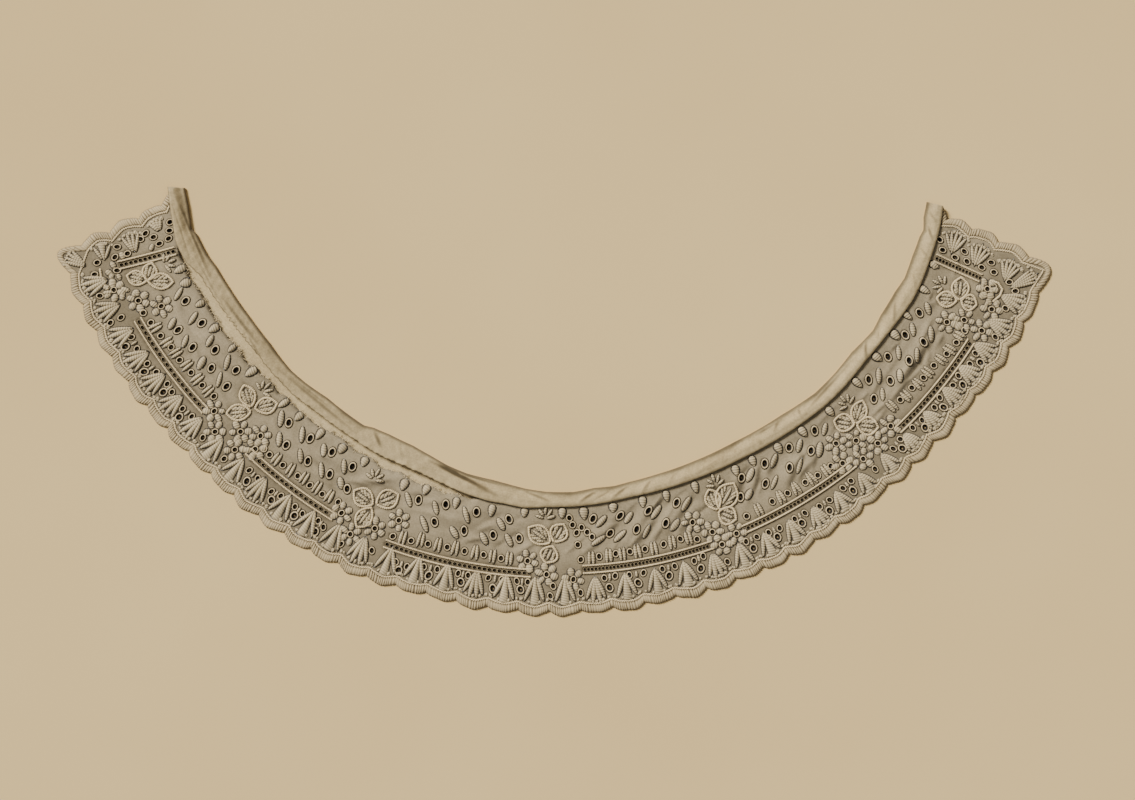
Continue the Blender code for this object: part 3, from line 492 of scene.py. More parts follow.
@dataclass(frozen=True)
class FoldMap:
    """Heights of the ground's folds on a fine grid, to be looked up quickly.

    Args:
        rows: The folds and creases.
        heights: Rows up the picture and columns across, in mm.
    """

    rows: tuple
    heights: Array

    @classmethod
    def lay(cls, rows: Rows) -> "FoldMap":
        """Lays creases on the grid, each in its own corner of it.

        Args:
            rows: Rows as in the tables of folds.

        Returns:
            The map.
        """
        made = cls(tuple(rows), np.zeros((TALL, WIDE)))
        for row in rows:
            ends = np.array((CHART.plan(row[0], row[1]), CHART.plan(row[2], row[3])))
            margin = 3.0 * row[5]
            first = ((ends.min(0) - margin - (LEFT, LOW)) / CELL).astype(int)
            last = ((ends.max(0) + margin - (LEFT, LOW)) / CELL).astype(int)
            x, y = np.meshgrid(LEFT + CELL * np.arange(first[0], last[0]),
                               LOW + CELL * np.arange(first[1], last[1]))
            made.heights[first[1]:last[1], first[0]:last[0]] += bumps((row,), x, y)
        return made

    def height(self, x: Array, y: Array) -> Array:
        """Reads the height at some points, between the grid's corners."""
        return self.read(self.heights, x, y)

    def away(self, x: Array, y: Array) -> Array:
        """How steeply the ground falls away from the key lamp, in mm to one."""
        up, side = np.gradient(self.heights, CELL)
        return self.read(0.7 * (up - side), x, y)

    def read(self, grid: Array, x: Array, y: Array) -> Array:
        """Reads a grid between its corners.

        Args:
            grid: Rows up the picture and columns across.
            x: Places across, in mm.
            y: Places up the picture, in mm.

        Returns:
            What the grid holds at each place.
        """
        column = np.clip((x - LEFT) / CELL, 0, grid.shape[1] - 1.001)
        row = np.clip((y - LOW) / CELL, 0, grid.shape[0] - 1.001)
        low, near = row.astype(int), column.astype(int)
        up, side = row - low, column - near
        below = grid[low, near] * (1 - side) + grid[low, near + 1] * side
        above = grid[low + 1, near] * (1 - side) + grid[low + 1, near + 1] * side
        return below * (1 - up) + above * up

    def crests(self) -> Array:
        """Lists places along every crease and to both sides, for the cloth's corners.

        Returns:
            Rows of x and y in mm.
        """
        spots = []
        for ray_a, ring_a, ray_b, ring_b, _, half in self.rows:
            one, two = np.array(CHART.plan(ray_a, ring_a)), np.array(CHART.plan(ray_b, ring_b))
            span = math.hypot(*(two - one))
            side = np.array((one[1] - two[1], two[0] - one[0])) / span
            share = np.linspace(0.04, 0.96, max(3, int(span)))[:, None]
            for part in (-1.5, -0.7, 0.0, 0.7, 1.5):
                spots.append(one + (two - one) * share + side * part * half)
        return np.concatenate(spots)


CREASED = FoldMap.lay((*FOLDS, *SOFT_CREASES, *loose_creases(17, 90)))


class Value:
    """A shader socket that takes part in Python sums."""

    def __init__(self, tree: bpy.types.NodeTree, socket: bpy.types.NodeSocket) -> None:
        """Keeps the tree and the socket."""
        self.tree = tree
        self.socket = socket

    def sum(self, operation: str, other: "Value | float", turned: bool = False) -> "Value":
        """Adds a Math node.

        Args:
            operation: The Math node's operation.
            other: The other number or socket.
            turned: Whether the other comes first.

        Returns:
            The node's result.
        """
        node = self.tree.nodes.new("ShaderNodeMath")
        node.operation = operation
        for number, item in enumerate((other, self) if turned else (self, other)):
            if isinstance(item, Value):
                self.tree.links.new(item.socket, node.inputs[number])
            else:
                node.inputs[number].default_value = item
        return Value(self.tree, node.outputs[0])

    def __add__(self, other: "Value | float") -> "Value":
        """Adds."""
        return self.sum("ADD", other)

    def __radd__(self, other: float) -> "Value":
        """Adds, the other first."""
        return self.sum("ADD", other, True)

    def __sub__(self, other: "Value | float") -> "Value":
        """Takes away."""
        return self.sum("SUBTRACT", other)

    def __rsub__(self, other: float) -> "Value":
        """Takes away from the other."""
        return self.sum("SUBTRACT", other, True)

    def __mul__(self, other: "Value | float") -> "Value":
        """Multiplies."""
        return self.sum("MULTIPLY", other)

    def sine(self) -> "Value":
        """The sine."""
        return self.sum("SINE", 0.0)


class Shader:
    """A material under construction."""

    def __init__(self, name: str) -> None:
        """Starts a material with its shader.

        Args:
            name: Name of the material.
        """
        self.material = bpy.data.materials.new(name)
        self.material.use_nodes = True
        self.tree = self.material.node_tree
        self.surface = self.tree.nodes["Principled BSDF"]

    def node(self, kind: str, settings: dict[str, object] | None = None,
             sockets: dict[str | int, object] | None = None) -> bpy.types.Node:
        """Adds a node.

        Args:
            kind: The node's type.
            settings: What is set on the node itself, first.
            sockets: Values, or Value objects to link, by socket.

        Returns:
            The node.
        """
        node = self.tree.nodes.new(kind)
        for key, value in (settings or {}).items():
            setattr(node, key, value)
        for key, value in (sockets or {}).items():
            self.feed(node.inputs[key], value)
        return node

    def feed(self, socket: bpy.types.NodeSocket, value: object) -> None:
        """Sets or links a socket.

        Args:
            socket: The socket.
            value: A plain value to set, or a Value to link.
        """
        if isinstance(value, Value):
            self.tree.links.new(value.socket, socket)
        else:
            socket.default_value = value

    def value(self, node: bpy.types.Node, output: str | int = 0) -> Value:
        """Wraps an output."""
        return Value(self.tree, node.outputs[output])

    def noise(self, place: Value, scale: float, detail: float = 2.0) -> Value:
        """Adds a noise texture and returns its factor."""
        node = self.node("ShaderNodeTexNoise", None,
                         {"Vector": place, "Scale": scale, "Detail": detail, "Roughness": 0.55})
        return self.value(node, "Fac")

    def attribute(self, name: str) -> Value:
        """Reads a number kept on the mesh."""
        return self.value(self.node("ShaderNodeAttribute", {"attribute_name": name}), "Fac")

    def weave(self) -> tuple[Value, Value, Value]:
        """Reads the cloth's own map, in mm along and across.

        Returns:
            The whole map, then the two directions.
        """
        spot = self.value(self.node("ShaderNodeUVMap", {"uv_map": "weave"}))
        parts = self.node("ShaderNodeSeparateXYZ", None, {0: spot})
        return spot, self.value(parts, 0), self.value(parts, 1)

    def mix(self, share: Value, low: Colour | Value, high: Colour | Value) -> Value:
        """Mixes two colours.

        Args:
            share: Share of the second.
            low: The first colour.
            high: The second colour.

        Returns:
            The mixed colour.
        """
        node = self.node("ShaderNodeMix", {"data_type": "RGBA", "clamp_factor": True}, {0: share})
        self.feed(node.inputs[6], low)
        self.feed(node.inputs[7], high)
        return self.value(node, 2)

    def bump(self, height: Value, strength: float, distance: float) -> Value:
        """Adds a bump and returns its normal."""
        node = self.node("ShaderNodeBump", None,
                         {"Height": height, "Strength": strength, "Distance": distance})
        return self.value(node)

    def dress(self, **sockets: object) -> bpy.types.Material:
        """Sets the surface's sockets.

        Args:
            **sockets: What each takes, by its name with underscores for spaces.

        Returns:
            The finished material.
        """
        for key, value in sockets.items():
            self.feed(self.surface.inputs[key.replace("_", " ")], value)
        return self.material


def tone(red: int, green: int, blue: int) -> Colour:
    """Turns a drawn tone into a linear colour, livelier by what the view's curve will dull.

    Args:
        red: Red, 0 to 255.
        green: Green, 0 to 255.
        blue: Blue, 0 to 255.

    Returns:
        The colour with its alpha.
    """
    grey = (red + green + blue) / 3.0
    parts = [max(0.0, grey + 1.85 * (part - grey)) / 255.0 for part in (red, green, blue)]
    linear = [part / 12.92 if part < 0.04 else ((part + 0.055) / 1.055) ** 2.4 for part in parts]
    return linear[0], linear[1], linear[2], 1.0


@dataclass(frozen=True)
class LinenFinish:
    """Fine plain-woven linen, yellowed and a little uneven.

    Args:
        name: Name of the material.
        light: Colour where it is cleanest.
        deep: Colour where it is greyer.
        shadow: Colour of the painted shade in the recesses, creases and beside raised work.
        thread: Millimetres to a thread.
        grain: Strength of the weave's relief.
    """

    name: str
    light: Colour
    deep: Colour
    shadow: Colour
    thread: float = 0.36
    grain: float = 0.45

    def material(self) -> bpy.types.Material:
        """Builds the cloth's nodes: warp, weft and slubs, stains, painted shade in the recesses.

        Returns:
            The material.
        """
        make = Shader(self.name)
        spot, along, across = make.weave()
        turn = 2.0 * math.pi / self.thread
        warp = (along * turn).sine()
        weft = (across * turn).sine()
        slub_map = make.node("ShaderNodeMapping", None, {"Vector": spot, "Scale": (0.35, 2.6, 1.0)})
        slub = make.noise(make.value(slub_map), 1.0, 3.0)
        cross_map = make.node("ShaderNodeMapping", None, {"Vector": spot, "Scale": (2.4, 0.3, 1.0)})
        cross = make.noise(make.value(cross_map), 1.0, 3.0)
        place = make.value(make.node("ShaderNodeTexCoord"), "Object")
        stain = make.noise(place, 22.0, 4.0)
        mottle = make.noise(place, 260.0, 3.0)
        speck = make.noise(place, 1500.0, 2.0)
        uneven = stain * 0.8 + mottle * 0.6 + speck * 0.8 + slub * 0.45 + cross * 0.35 - 0.97
        colour = make.mix(uneven, self.light, self.deep)
        # Painted shade, where the mesh's shade attribute says.
        colour = make.mix(make.attribute("shade"), colour, self.shadow)
        height = warp * weft * 0.35 + slub * 0.7 + cross * 0.5
        return make.dress(Base_Color=colour, Roughness=0.8 + mottle * 0.12, Sheen_Weight=0.15,
                          Specular_IOR_Level=0.25, Normal=make.bump(height, self.grain, 0.00012))


@dataclass(frozen=True)
class ThreadFinish:
    """Soft embroidery thread laid side by side.

    Args:
        name: Name of the material.
        light: Colour on top of the stitches.
        deep: Colour between them, a painted shade in the grooves, and of the darker mottle.
        shadow: Colour of the painted shade at the foot of the work, in its holes and between its
            stitches.
        pitch: Millimetres to a stitch.
        relief: Strength of the stitches' relief.
        sheen: Strength of its soft sheen.
    """

    name: str
    light: Colour
    deep: Colour
    shadow: Colour
    pitch: float = 0.8
    relief: float = 0.7
    sheen: float = 0.2

    def material(self) -> bpy.types.Material:
        """Builds the thread's nodes: single stitches with painted shade between them, mottle,
        painted shade at the foot.

        Returns:
            The material.
        """
        make = Shader(self.name)
        spot, along, across = make.weave()
        place = make.value(make.node("ShaderNodeTexCoord"), "Object")
        waver = make.noise(place, 700.0, 2.0)
        stitch = ((along + across * 0.25 + waver * 0.5) * (2.0 * math.pi / self.pitch)).sine()
        stitch = stitch * 0.5 + 0.5
        mottle = make.noise(place, 120.0, 3.0)
        # Darker between the stitches as painted shade in the grooves, and in the mottle.
        uneven = (1.0 - stitch) * 0.55 + mottle * 0.9 - 0.40
        colour = make.mix(uneven, self.light, self.deep)
        # Painted shade, where the mesh's shade attribute says.
        colour = make.mix(make.attribute("shade"), colour, self.shadow)
        return make.dress(Base_Color=colour, Roughness=0.62 + mottle * 0.2, Sheen_Weight=self.sheen,
                          Specular_IOR_Level=0.3, Normal=make.bump(stitch, self.relief, 0.0002))


@dataclass(frozen=True)
class PaperFinish:
    """Plain pale paper under the collar.

    Args:
        name: Name of the material.
        light: Colour where it is palest.
        deep: Colour where it is darkest.
    """

    name: str = "pale_paper"
    light: Colour = tone(214, 198, 167)
    deep: Colour = tone(198, 181, 149)

    def material(self) -> bpy.types.Material:
        """Builds the paper's nodes, in faint large clouds.

        Returns:
            The material.
        """
        make = Shader(self.name)
        place = make.value(make.node("ShaderNodeTexCoord"), "Object")
        cloud = make.noise(place, 5.0, 3.0) * 1.2 - 0.1
        return make.dress(Base_Color=make.mix(cloud, self.light, self.deep), Roughness=0.95,
                          Specular_IOR_Level=0.1)


# Each finish's last colour is painted shade, laid on by a piece's shade attribute.
GROUND_LINEN = LinenFinish(
    "ground_linen", tone(167, 158, 141), tone(120, 113, 98), tone(48, 42, 31))
BAND_LINEN = LinenFinish(
    "neckband_linen", tone(210, 197, 170), tone(144, 133, 112), tone(70, 63, 50), grain=0.25)
SATIN_THREAD = ThreadFinish(
    "satin_thread", tone(188, 178, 157), tone(121, 112, 95), tone(26, 21, 14),
    pitch=0.95, relief=0.6)
RIM_THREAD = ThreadFinish(
    "buttonhole_thread", tone(200, 188, 164), tone(150, 139, 118), tone(72, 63, 48),
    pitch=0.31, relief=0.3)
CORD_THREAD = ThreadFinish(
    "cord_thread", tone(212, 200, 176), tone(164, 152, 130), tone(28, 23, 15),
    pitch=0.5, relief=0.4, sheen=0.04)
SLOT_THREAD = ThreadFinish(
    "slot_thread", tone(176, 166, 146), tone(118, 109, 92), tone(20, 16, 10),
    pitch=0.5, relief=0.3, sheen=0.0)


class Slot(Enum):
    """The record's material slots."""

    PANEL = "ecru_linen"
    BAND = "band_linen"


@dataclass
class Cut:
    """Corners, faces and what is painted on them, ready to become a piece.

    Args:
        corners: Places in mm, one row each.
        faces: Lists of corner numbers.
        shade: Painted shade at each corner, nought to one.
        weave: The cloth's own map, in mm.
    """

    corners: Array
    faces: list[list[int]]
    shade: Array
    weave: Array


def add_object(name: str, data: bpy.types.ID) -> bpy.types.Object:
    """Adds an object to the scene.

    Args:
        name: Its name.
        data: Its mesh, light or camera.

    Returns:
        The object.
    """
    made = bpy.data.objects.new(name, data)
    bpy.context.scene.collection.objects.link(made)
    return made


def add_piece(name: str, cut: Cut, material: bpy.types.Material, slot: Slot) -> bpy.types.Object:
    """Turns a cut into a piece that goes with the collar, and reports it.

    Args:
        name: Name of the piece.
        cut: Its corners and faces.
        material: Its finish.
        slot: The record's slot that it belongs to; not used.

    Returns:
        The piece.
    """
    mesh = bpy.data.meshes.new(name)
    mesh.from_pydata((cut.corners * MM).tolist(), [], cut.faces)
    painted_shade = mesh.attributes.new("shade", "FLOAT", "POINT")
    painted_shade.data.foreach_set("value", np.clip(cut.shade, 0, 1))
    loops = np.empty(len(mesh.loops), dtype=np.int64)
    mesh.loops.foreach_get("vertex_index", loops)
    mesh.uv_layers.new(name="weave").data.foreach_set("uv", cut.weave[loops].ravel())
    mesh.polygons.foreach_set("use_smooth", [True] * len(mesh.polygons))
    mesh.update()
    piece = add_object(name, mesh)
    mesh.materials.append(material)
    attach(piece, "root")
    mesh.calc_loop_triangles()
    LOG.info("%s: %d triangles", name, len(mesh.loop_triangles))
    return piece


def thicken(piece: bpy.types.Object, thick: float) -> bpy.types.Object:
    """Gives a cloth its thickness, on the underside.

    Args:
        piece: The cloth.
        thick: Its thickness in mm.

    Returns:
        The piece.
    """
    shell = piece.modifiers.new("thickness", "SOLIDIFY")
    shell.thickness = thick * MM
    shell.offset = -1.0
    return piece


def shaped_grid(columns: int, rows: int, place: Place, closed: bool) -> Cut:
    """Makes a grid and shapes it.

    Args:
        columns: Squares along.
        rows: Squares across.
        place: Gives corners, shade and map for shares along and across.
        closed: Whether the first and last row are the same line, to be joined.

    Returns:
        The cut.
    """
    made = bmesh.new()
    bmesh.ops.create_grid(made, x_segments=columns, y_segments=rows, size=1.0)
    flat = np.array([corner.co[:2] for corner in made.verts]) * 0.5 + 0.5
    corners, shade, weave = place(flat[:, 0], flat[:, 1])
    keep = made.verts.layers.float_vector.new("paint")
    for number, corner in enumerate(made.verts):
        corner.co = corners[number]
        corner[keep] = (shade[number], weave[number, 0], weave[number, 1])
    if closed:
        bmesh.ops.remove_doubles(made, verts=made.verts, dist=0.001)
        edges = [edge for edge in made.edges if edge.is_boundary]
        bmesh.ops.holes_fill(made, edges=edges, sides=0)
        bmesh.ops.recalc_face_normals(made, faces=made.faces)
    paint = np.array([corner[keep][:] for corner in made.verts])
    return Cut(*unpack(made), paint[:, 0], paint[:, 1:])


def unpack(made: bmesh.types.BMesh) -> tuple[Array, list[list[int]]]:
    """Reads a bmesh and frees it.

    Args:
        made: The shape.

    Returns:
        Its corners, and its faces as lists of corner numbers.
    """
    made.verts.index_update()
    corners = np.array([corner.co[:] for corner in made.verts])
    faces = [[corner.index for corner in face.verts] for face in made.faces]
    made.free()
    return corners, faces


@dataclass(frozen=True)
class Stitch:
    """Sizes of one kind of leaf, bead or ring, in mm.

    Args:
        width: Whole width.
        length: Whole length.
        rise: Height.
        uneven: How much the sizes vary, as a share.
    """

    width: Array | float
    length: Array | float
    rise: float
    uneven: float = 0.06


@dataclass(frozen=True)
class Whipping:
    """Sizes of a whipped cord.

    Args:
        pitch: Millimetres to a stitch.
        width: Width in mm.
        rise: Height in mm.
        slant: Turn of the stitches to the cord, in radians.
    """

    pitch: float
    width: float
    rise: float
    slant: float


@dataclass
class ScallopedEdge:
    """The panel's scalloped edge and its buttonholed rim.

    Args:
        depth: Width of the rim in mm.
        pitch: Millimetres to a stitch.
        groove: Millimetres that the stitches rise and sink.
        bulge: How far a scallop stands out from its valleys, in rings.
        corner: Bulge from which a lobe is one of the two corners.
        columns: Squares along the rim.
        cord_depth: Millimetres from the outline to the cord inside the rim.
        cord: Sizes of that cord.
        seed: Seed of its unevenness.
        rows: Each valley's x, y and the bulge of the lobe after it.
        wobble: Each lobe's lean, and the phase of its ripple.
    """

    depth: float = 3.0
    pitch: float = 0.88
    groove: float = 0.13
    bulge: float = 5.6
    corner: float = 12.0
    columns: int = 3200
    cord_depth: float = 3.3
    cord: Whipping = Whipping(0.85, 0.55, 0.4, 0.5)
    seed: int = 41
    rows: list[tuple[float, float, float]] = field(default_factory=list)
    wobble: list[tuple[float, float]] = field(default_factory=list)

    def __post_init__(self) -> None:
        """Works out the valleys and lobes."""
        shake = random.Random(self.seed)
        rays = CHART.fans()
        self.rows = [(*CHART.plan(ray, ring), bulge) for ray, ring, bulge in LEFT_END]
        self.rows.append((*CHART.plan(*LEFT_CORNER), self.bulge))
        for left, right in zip(rays, rays[1:]):
            middle = 0.5 * (left + right)
            self.rows.append((*CHART.plan(middle, CHART.valley(middle)),
                              self.bulge + shake.uniform(-1.5, 1.4)))
        self.rows += [(*CHART.plan(ray, ring), bulge) for ray, ring, bulge in RIGHT_END]
        self.rows.append((*CHART.plan(*RIGHT_NECK), 0.0))
        self.wobble = [(shake.uniform(-0.3, 0.3), shake.uniform(0, 6.28)) for _ in self.rows]

    def trace(self, share: Array, depth: Array) -> tuple[Array, Array, Array]:
        """Follows the edge.

        Args:
            share: Scallop number and share of it, as one number.
            depth: Millimetres inside the outline.

        Returns:
            The x and y, and the length along the edge in mm.
        """
        spots = np.array(self.rows)
        run = spots[1:, :2] - spots[:-1, :2]
        span = np.hypot(run[:, 0], run[:, 1])
        normal = np.stack((run[:, 1], -run[:, 0]), 1) / span[:, None]
        count = len(run)
        number = np.clip(share.astype(int), 0, count - 1)
        part = share - number
        before, after = normal[np.maximum(number - 1, 0)], normal[np.minimum(number + 1, count - 1)]
        here = normal[number]
        mean = (before + here) * (1 - part)[:, None] + (here + after) * part[:, None]
        mean /= np.hypot(mean[:, 0], mean[:, 1])[:, None]
        lean, phase = np.array(self.wobble)[number].T
        skew = part + lean * part * (1 - part)
        small = (spots[number, 2] < self.corner) * 1.0
        inside = np.clip(depth / 3.4, 0, 1)
        flatter = np.where(small > 0, 0.28, 0.04) * inside
        power = 0.72 + (1.0 - small) * (0.16 + 0.42 * inside)
        middle = np.sin(math.pi * part)
        ripple = small * 0.11 * np.sin(3 * math.pi * part + phase) * middle
        arch = np.sin(math.pi * skew) ** power + ripple
        lobe = spots[number, 2] * CHART.step * arch * (1.0 - flatter)
        spot = spots[number, :2] + run[number] * part[:, None]
        narrower = 0.22 - 0.12 * small
        depth = depth * (1.0 - narrower * middle)
        spot = spot + here * lobe[:, None] - mean * depth[:, None]
        travel = np.concatenate(((0.0,), np.cumsum(span)))
        return spot[:, 0], spot[:, 1], travel[number] + span[number] * part

    def line(self, depth: float, samples: int) -> Array:
        """Draws a line along the edge.

        Args:
            depth: Millimetres inside the outline.
            samples: Places to a lobe.

        Returns:
            Rows of x and y in mm.
        """
        share = np.linspace(0.0, len(self.rows) - 1.0001, samples * (len(self.rows) - 1))
        x, y, _ = self.trace(share, np.full_like(share, depth))
        return np.stack((x, y), 1)

    def build_cord(self) -> bpy.types.Object:
        """Makes the cord inside the rim, without the loops that it would make at the valleys.

        Returns:
            The piece.
        """
        line, outer = self.line(self.cord_depth, 9)[6:-8], self.line(0.0, 9)
        gap = np.hypot(line[:, :1] - outer[:, 0], line[:, 1:] - outer[:, 1]).min(1)
        work = Work("rim_cord", CORD_THREAD, 6)
        work.rope(line[gap > 0.86 * self.cord_depth], self.cord)
        return work.build()

    def stitched(self, along: Array, around: Array) -> tuple[Array, Array, Array]:
        """Bends a strip round the edge and works it into close stitches.

        Args:
            along: Share of the edge, left to right.
            around: Share of the rim's profile.

        Returns:
            Corners, painted shade and map.
        """
        profile = RIM_PROFILE * (self.depth / 3.3, 1.0, 1.0)
        share = along * (len(self.rows) - 1.0001)
        row = around * (len(profile) - 1)
        depth, height, painted_shade = (np.interp(row, range(len(profile)), column) for column in profile.T)
        _, _, travel = self.trace(share, depth)
        drift = np.sin(travel * 2.1) * 0.5 + np.sin(travel * 0.83) + np.sin(travel * 0.31)
        swing = np.cos((travel + 0.22 * drift + 0.1 * depth) * 2 * math.pi / self.pitch)
        swing = swing * (0.7 + 0.3 * np.sin(travel * 0.47 + np.sin(travel * 0.13)))
        top = smooth((height - 0.5) / 0.5)
        depth = depth - self.groove * swing * smooth((1.0 - depth) / 0.8)
        x, y, _ = self.trace(share, depth)
        z = height + self.groove * top * swing + CHART.lift(x, y)
        # Painted shade in the gaps between the stitches on top.
        painted_shade = painted_shade + top * 0.92 * smooth((-swing - 0.1) / 0.6)
        return np.stack((x, y, z), 1), painted_shade, np.stack((travel, depth), 1)

    def build_rim(self) -> bpy.types.Object:
        """Makes the low rounded rim of close stitches."""
        rim = shaped_grid(self.columns, len(RIM_PROFILE) - 1, self.stitched, True)
        return add_piece("scalloped_rim", rim, RIM_THREAD.material(), Slot.PANEL)


@dataclass(frozen=True)
class Pattern:
    """A small shape to be repeated, its sizes as shares of half width, half length and rise.

    Args:
        corners: Places across, along and up.
        faces: Lists of corner numbers.
        shade: Painted shade at each corner.
    """

    corners: Array
    faces: list[list[int]]
    shade: Array

    @staticmethod
    def read(made: bmesh.types.BMesh, painted_shade: Callable[[Array], Array]) -> "Pattern":
        """Reads a bmesh and paints its shade, which is worked out from rows of corners."""
        corners, faces = unpack(made)
        return Pattern(corners, faces, painted_shade(corners))

    @staticmethod
    def leaf(around: int, along: int, skirt: float, point: float, taper: float = 0.0,
             wedge: bool = False) -> "Pattern":
        """A padded leaf of satin stitch.

        Args:
            around: Faces round its middle, a multiple of four.
            along: Faces from tip to tip.
            skirt: How far its foot spreads, as a share of half its width.
            point: How pointed its tips are.
            taper: How much broader its far end is than its foot.
            wedge: Whether it is narrow at its foot and broad at its far end.

        Returns:
            The pattern.
        """
        made = bmesh.new()
        bmesh.ops.create_uvsphere(made, u_segments=around, v_segments=along, radius=1.0,
                                  matrix=Matrix.Rotation(math.pi / 2, 4, "X"))
        for corner in made.verts:
            x, y, z = corner.co
            round_up = math.sqrt(max(1e-9, 1.0 - y * y))
            rise = z / round_up
            if wedge:
                x = x / round_up * (0.62 + 0.42 * y)
            x *= (1.0 - point * y * y) * (1.0 + taper * y)
            z *= 1.0 + 0.35 * y * y
            if abs(y) > 0.99:
                y, z = y * (1.0 + 0.5 * skirt), 0.10
            elif 0.6 < rise < 0.95:
                x, z = x * 1.45, z * 0.8
            elif 0.1 < rise <= 0.6:
                x, z = x * 1.14, 0.15
            elif -0.1 < rise <= 0.1:
                x, y, z = x * (1.0 + skirt), y * (1.0 + 0.4 * skirt), 0.10
            elif rise <= -0.1:
                z = -0.45
            corner.co = (x, y, z)

        def painted_shade(corners: Array) -> Array:
            """Painted shade, dark at the foot."""
            return smooth((0.34 - corners[:, 2]) / 0.24)

        return Pattern.read(made, painted_shade)

    @staticmethod
    def ring(steps: int, profile: Sequence[tuple[float, float, float]]) -> "Pattern":
        """A ring turned from a closed profile.

        Args:
            steps: Faces round the ring.
            profile: Reach, height and painted shade of each corner of the profile.

        Returns:
            The pattern.
        """
        made = bmesh.new()
        corners = [made.verts.new((reach, 0.0, height)) for reach, height, _ in profile]
        lines = [made.edges.new((one, two)) for one, two in zip(corners, corners[1:] + corners[:1])]
        bmesh.ops.spin(made, geom=corners + lines, cent=(0, 0, 0), axis=(0, 0, 1),
                       angle=2 * math.pi, steps=steps, use_merge=True, use_duplicate=False)
        bmesh.ops.remove_doubles(made, verts=made.verts, dist=1e-4)
        bmesh.ops.recalc_face_normals(made, faces=made.faces)
        known = np.array(profile)

        def painted_shade(found: Array) -> Array:
            """Looks each corner up in the profile.

            Args:
                found: Rows of corners.

            Returns:
                The painted shade at each.
            """
            reach = np.hypot(found[:, 0], found[:, 1])
            gap = (reach[:, None] - known[:, 0]) ** 2 + (found[:, 2][:, None] - known[:, 1]) ** 2
            return known[gap.argmin(1), 2]

        return Pattern.read(made, painted_shade)


LEAF = Pattern.leaf(12, 6, 0.30, -0.06)
WEDGE = Pattern.leaf(12, 6, 0.16, 0.0, wedge=True)
DROP = Pattern.leaf(12, 6, 0.28, -0.12, -0.34)
PETAL = Pattern.leaf(12, 6, 0.28, -0.20)
BEAD = Pattern.leaf(8, 4, 0.24, -0.05)
# The last number of each profile corner is painted shade: dark down the hole and round the foot.
EYELET = Pattern.ring(12, ((0.32, -1.10, 1.0), (1.05, -0.02, 1.0), (1.11, 0.34, 0.35),
                           (1.24, 0.50, 0.0), (1.46, 0.42, 0.0), (1.56, 0.15, 0.9),
                           (1.86, 0.09, 1.0), (1.55, -0.45, 1.0)))
WELL = Pattern.ring(8, ((0.34, -1.10, 1.0), (1.04, 0.02, 1.0), (1.14, 0.14, 0.15),
                        (1.30, -0.04, 0.4), (1.28, -0.45, 1.0)))


